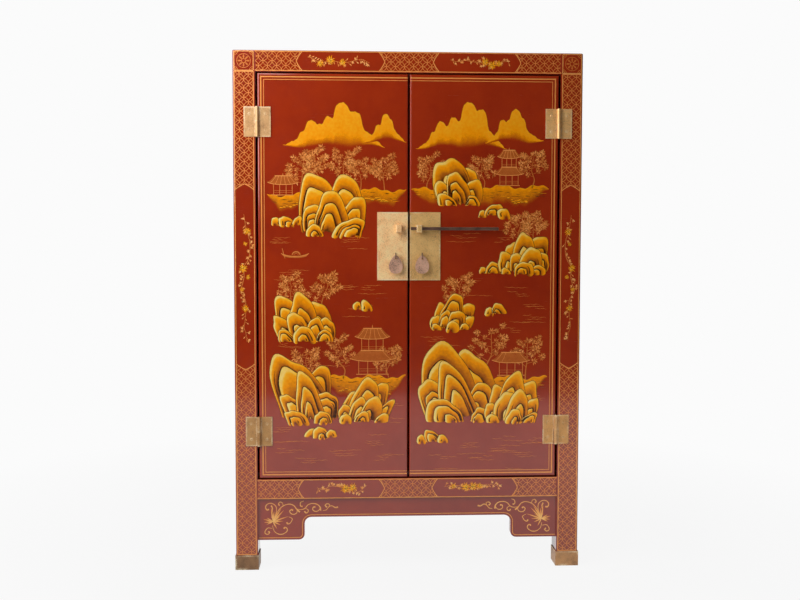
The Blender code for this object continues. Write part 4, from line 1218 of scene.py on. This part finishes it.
FLOOR_RADIUS = 60.0
FLOOR_LEVEL = -0.0005
BACKGROUND = 0.965
WHITE = (1.0, 1.0, 1.0, 1.0)
PAPER, tree, shader = new_material("paper", {"Base Color": (0.5, 0.5, 0.5, 1.0), "Roughness": 0.9})
white = add_node(tree, "ShaderNodeEmission", {"Color": WHITE, "Strength": BACKGROUND})
far = add_node(tree, "ShaderNodeVectorMath", {0: rest_place(tree)}, operation="LENGTH").outputs["Value"]
glow = calc(tree, "MULTIPLY", seen_itself(tree), spread(tree, far, 0.7, 1.6, 0.93, 1.0))
values = {0: glow, 1: shader.outputs["BSDF"], 2: white.outputs["Emission"]}
show = add_node(tree, "ShaderNodeMixShader", values)
feed(tree, {"Surface": show.outputs["Shader"]}, tree.nodes["Material Output"].inputs)
floor_place = (0, 0, FLOOR_LEVEL)
bpy.ops.mesh.primitive_circle_add(vertices=64, radius=FLOOR_RADIUS, fill_type="NGON", location=floor_place)
floor = bpy.context.object
floor.name = "studio_floor"
floor.data.materials.append(PAPER)

CARD_RADIUS = 2.85
CARD_HEIGHT = 4.2
CARD = new_material("dark_card", {"Base Color": (0.02, 0.02, 0.02, 1.0), "Roughness": 0.9})[0]
bpy.ops.mesh.primitive_cylinder_add(
    vertices=96,
    radius=CARD_RADIUS,
    depth=CARD_HEIGHT,
    end_fill_type="NOTHING",
    location=(0, 0, CARD_HEIGHT / 2),
)
cards = bpy.context.object
cards.name = "dark_cards"
cards.data.materials.append(CARD)
for ray in ("camera", "diffuse", "transmission", "volume_scatter", "shadow"):
    setattr(cards, f"visible_{ray}", False)

WORLD_FILL = 0.07
world = bpy.data.worlds.new("white surround")
bpy.context.scene.world = world
world.use_nodes = True
tree = world.node_tree
surround = tree.nodes["Background"].inputs
surround["Color"].default_value = WHITE
feed(tree, {"Strength": spread(tree, seen_itself(tree), 0.0, 1.0, WORLD_FILL, BACKGROUND)}, surround)

LAMPS = {  # place, size and power
    "key": ((-1.05, -0.9, 1.5), 1.4, 34.0),
    "fill": ((1.8, -1.9, 1.6), 1.3, 0.8),
    "side": ((2.3, 0.9, 1.6), 1.3, 18.0),
    "top": ((0.0, 0.5, 2.9), 1.6, 14.0),
    "back": ((0.3, 2.5, 1.6), 1.4, 40.0),
    "low": ((0.55, -0.75, 0.12), 0.4, 1.0),
}
AIM = Vector((0.0, -0.1, 0.65))
for name, (spot, size, power) in LAMPS.items():
    lamp = bpy.data.lights.new(f"{name}_lamp", "AREA")
    lamp.size = size
    lamp.energy = power
    holder = bpy.data.objects.new(f"{name}_lamp", lamp)
    holder.location = spot
    holder.rotation_euler = (AIM - Vector(spot)).to_track_quat("-Z", "Y").to_euler()
    holder.visible_camera = False
    holder.visible_glossy = name == "key"
    bpy.context.scene.collection.objects.link(holder)


# Camera
# It stands a little over two metres before the doors and slightly left of their middle, at nearly two
# thirds of the cupboard's height. It looks a little down, through a normal lens.
CAMERA_PLACE = (-0.128, -2.468, 0.758)
CAMERA_TURN = (86.79, -0.09, -2.72)  # degrees
LENS = 44.13
FILM_WIDTH = 36.0
camera = bpy.data.objects.new("camera", bpy.data.cameras.new("camera"))
camera.data.lens = LENS
camera.data.sensor_width = FILM_WIDTH
camera.location = CAMERA_PLACE
camera.rotation_euler = [math.radians(angle) for angle in CAMERA_TURN]
bpy.context.scene.collection.objects.link(camera)
bpy.context.scene.camera = camera
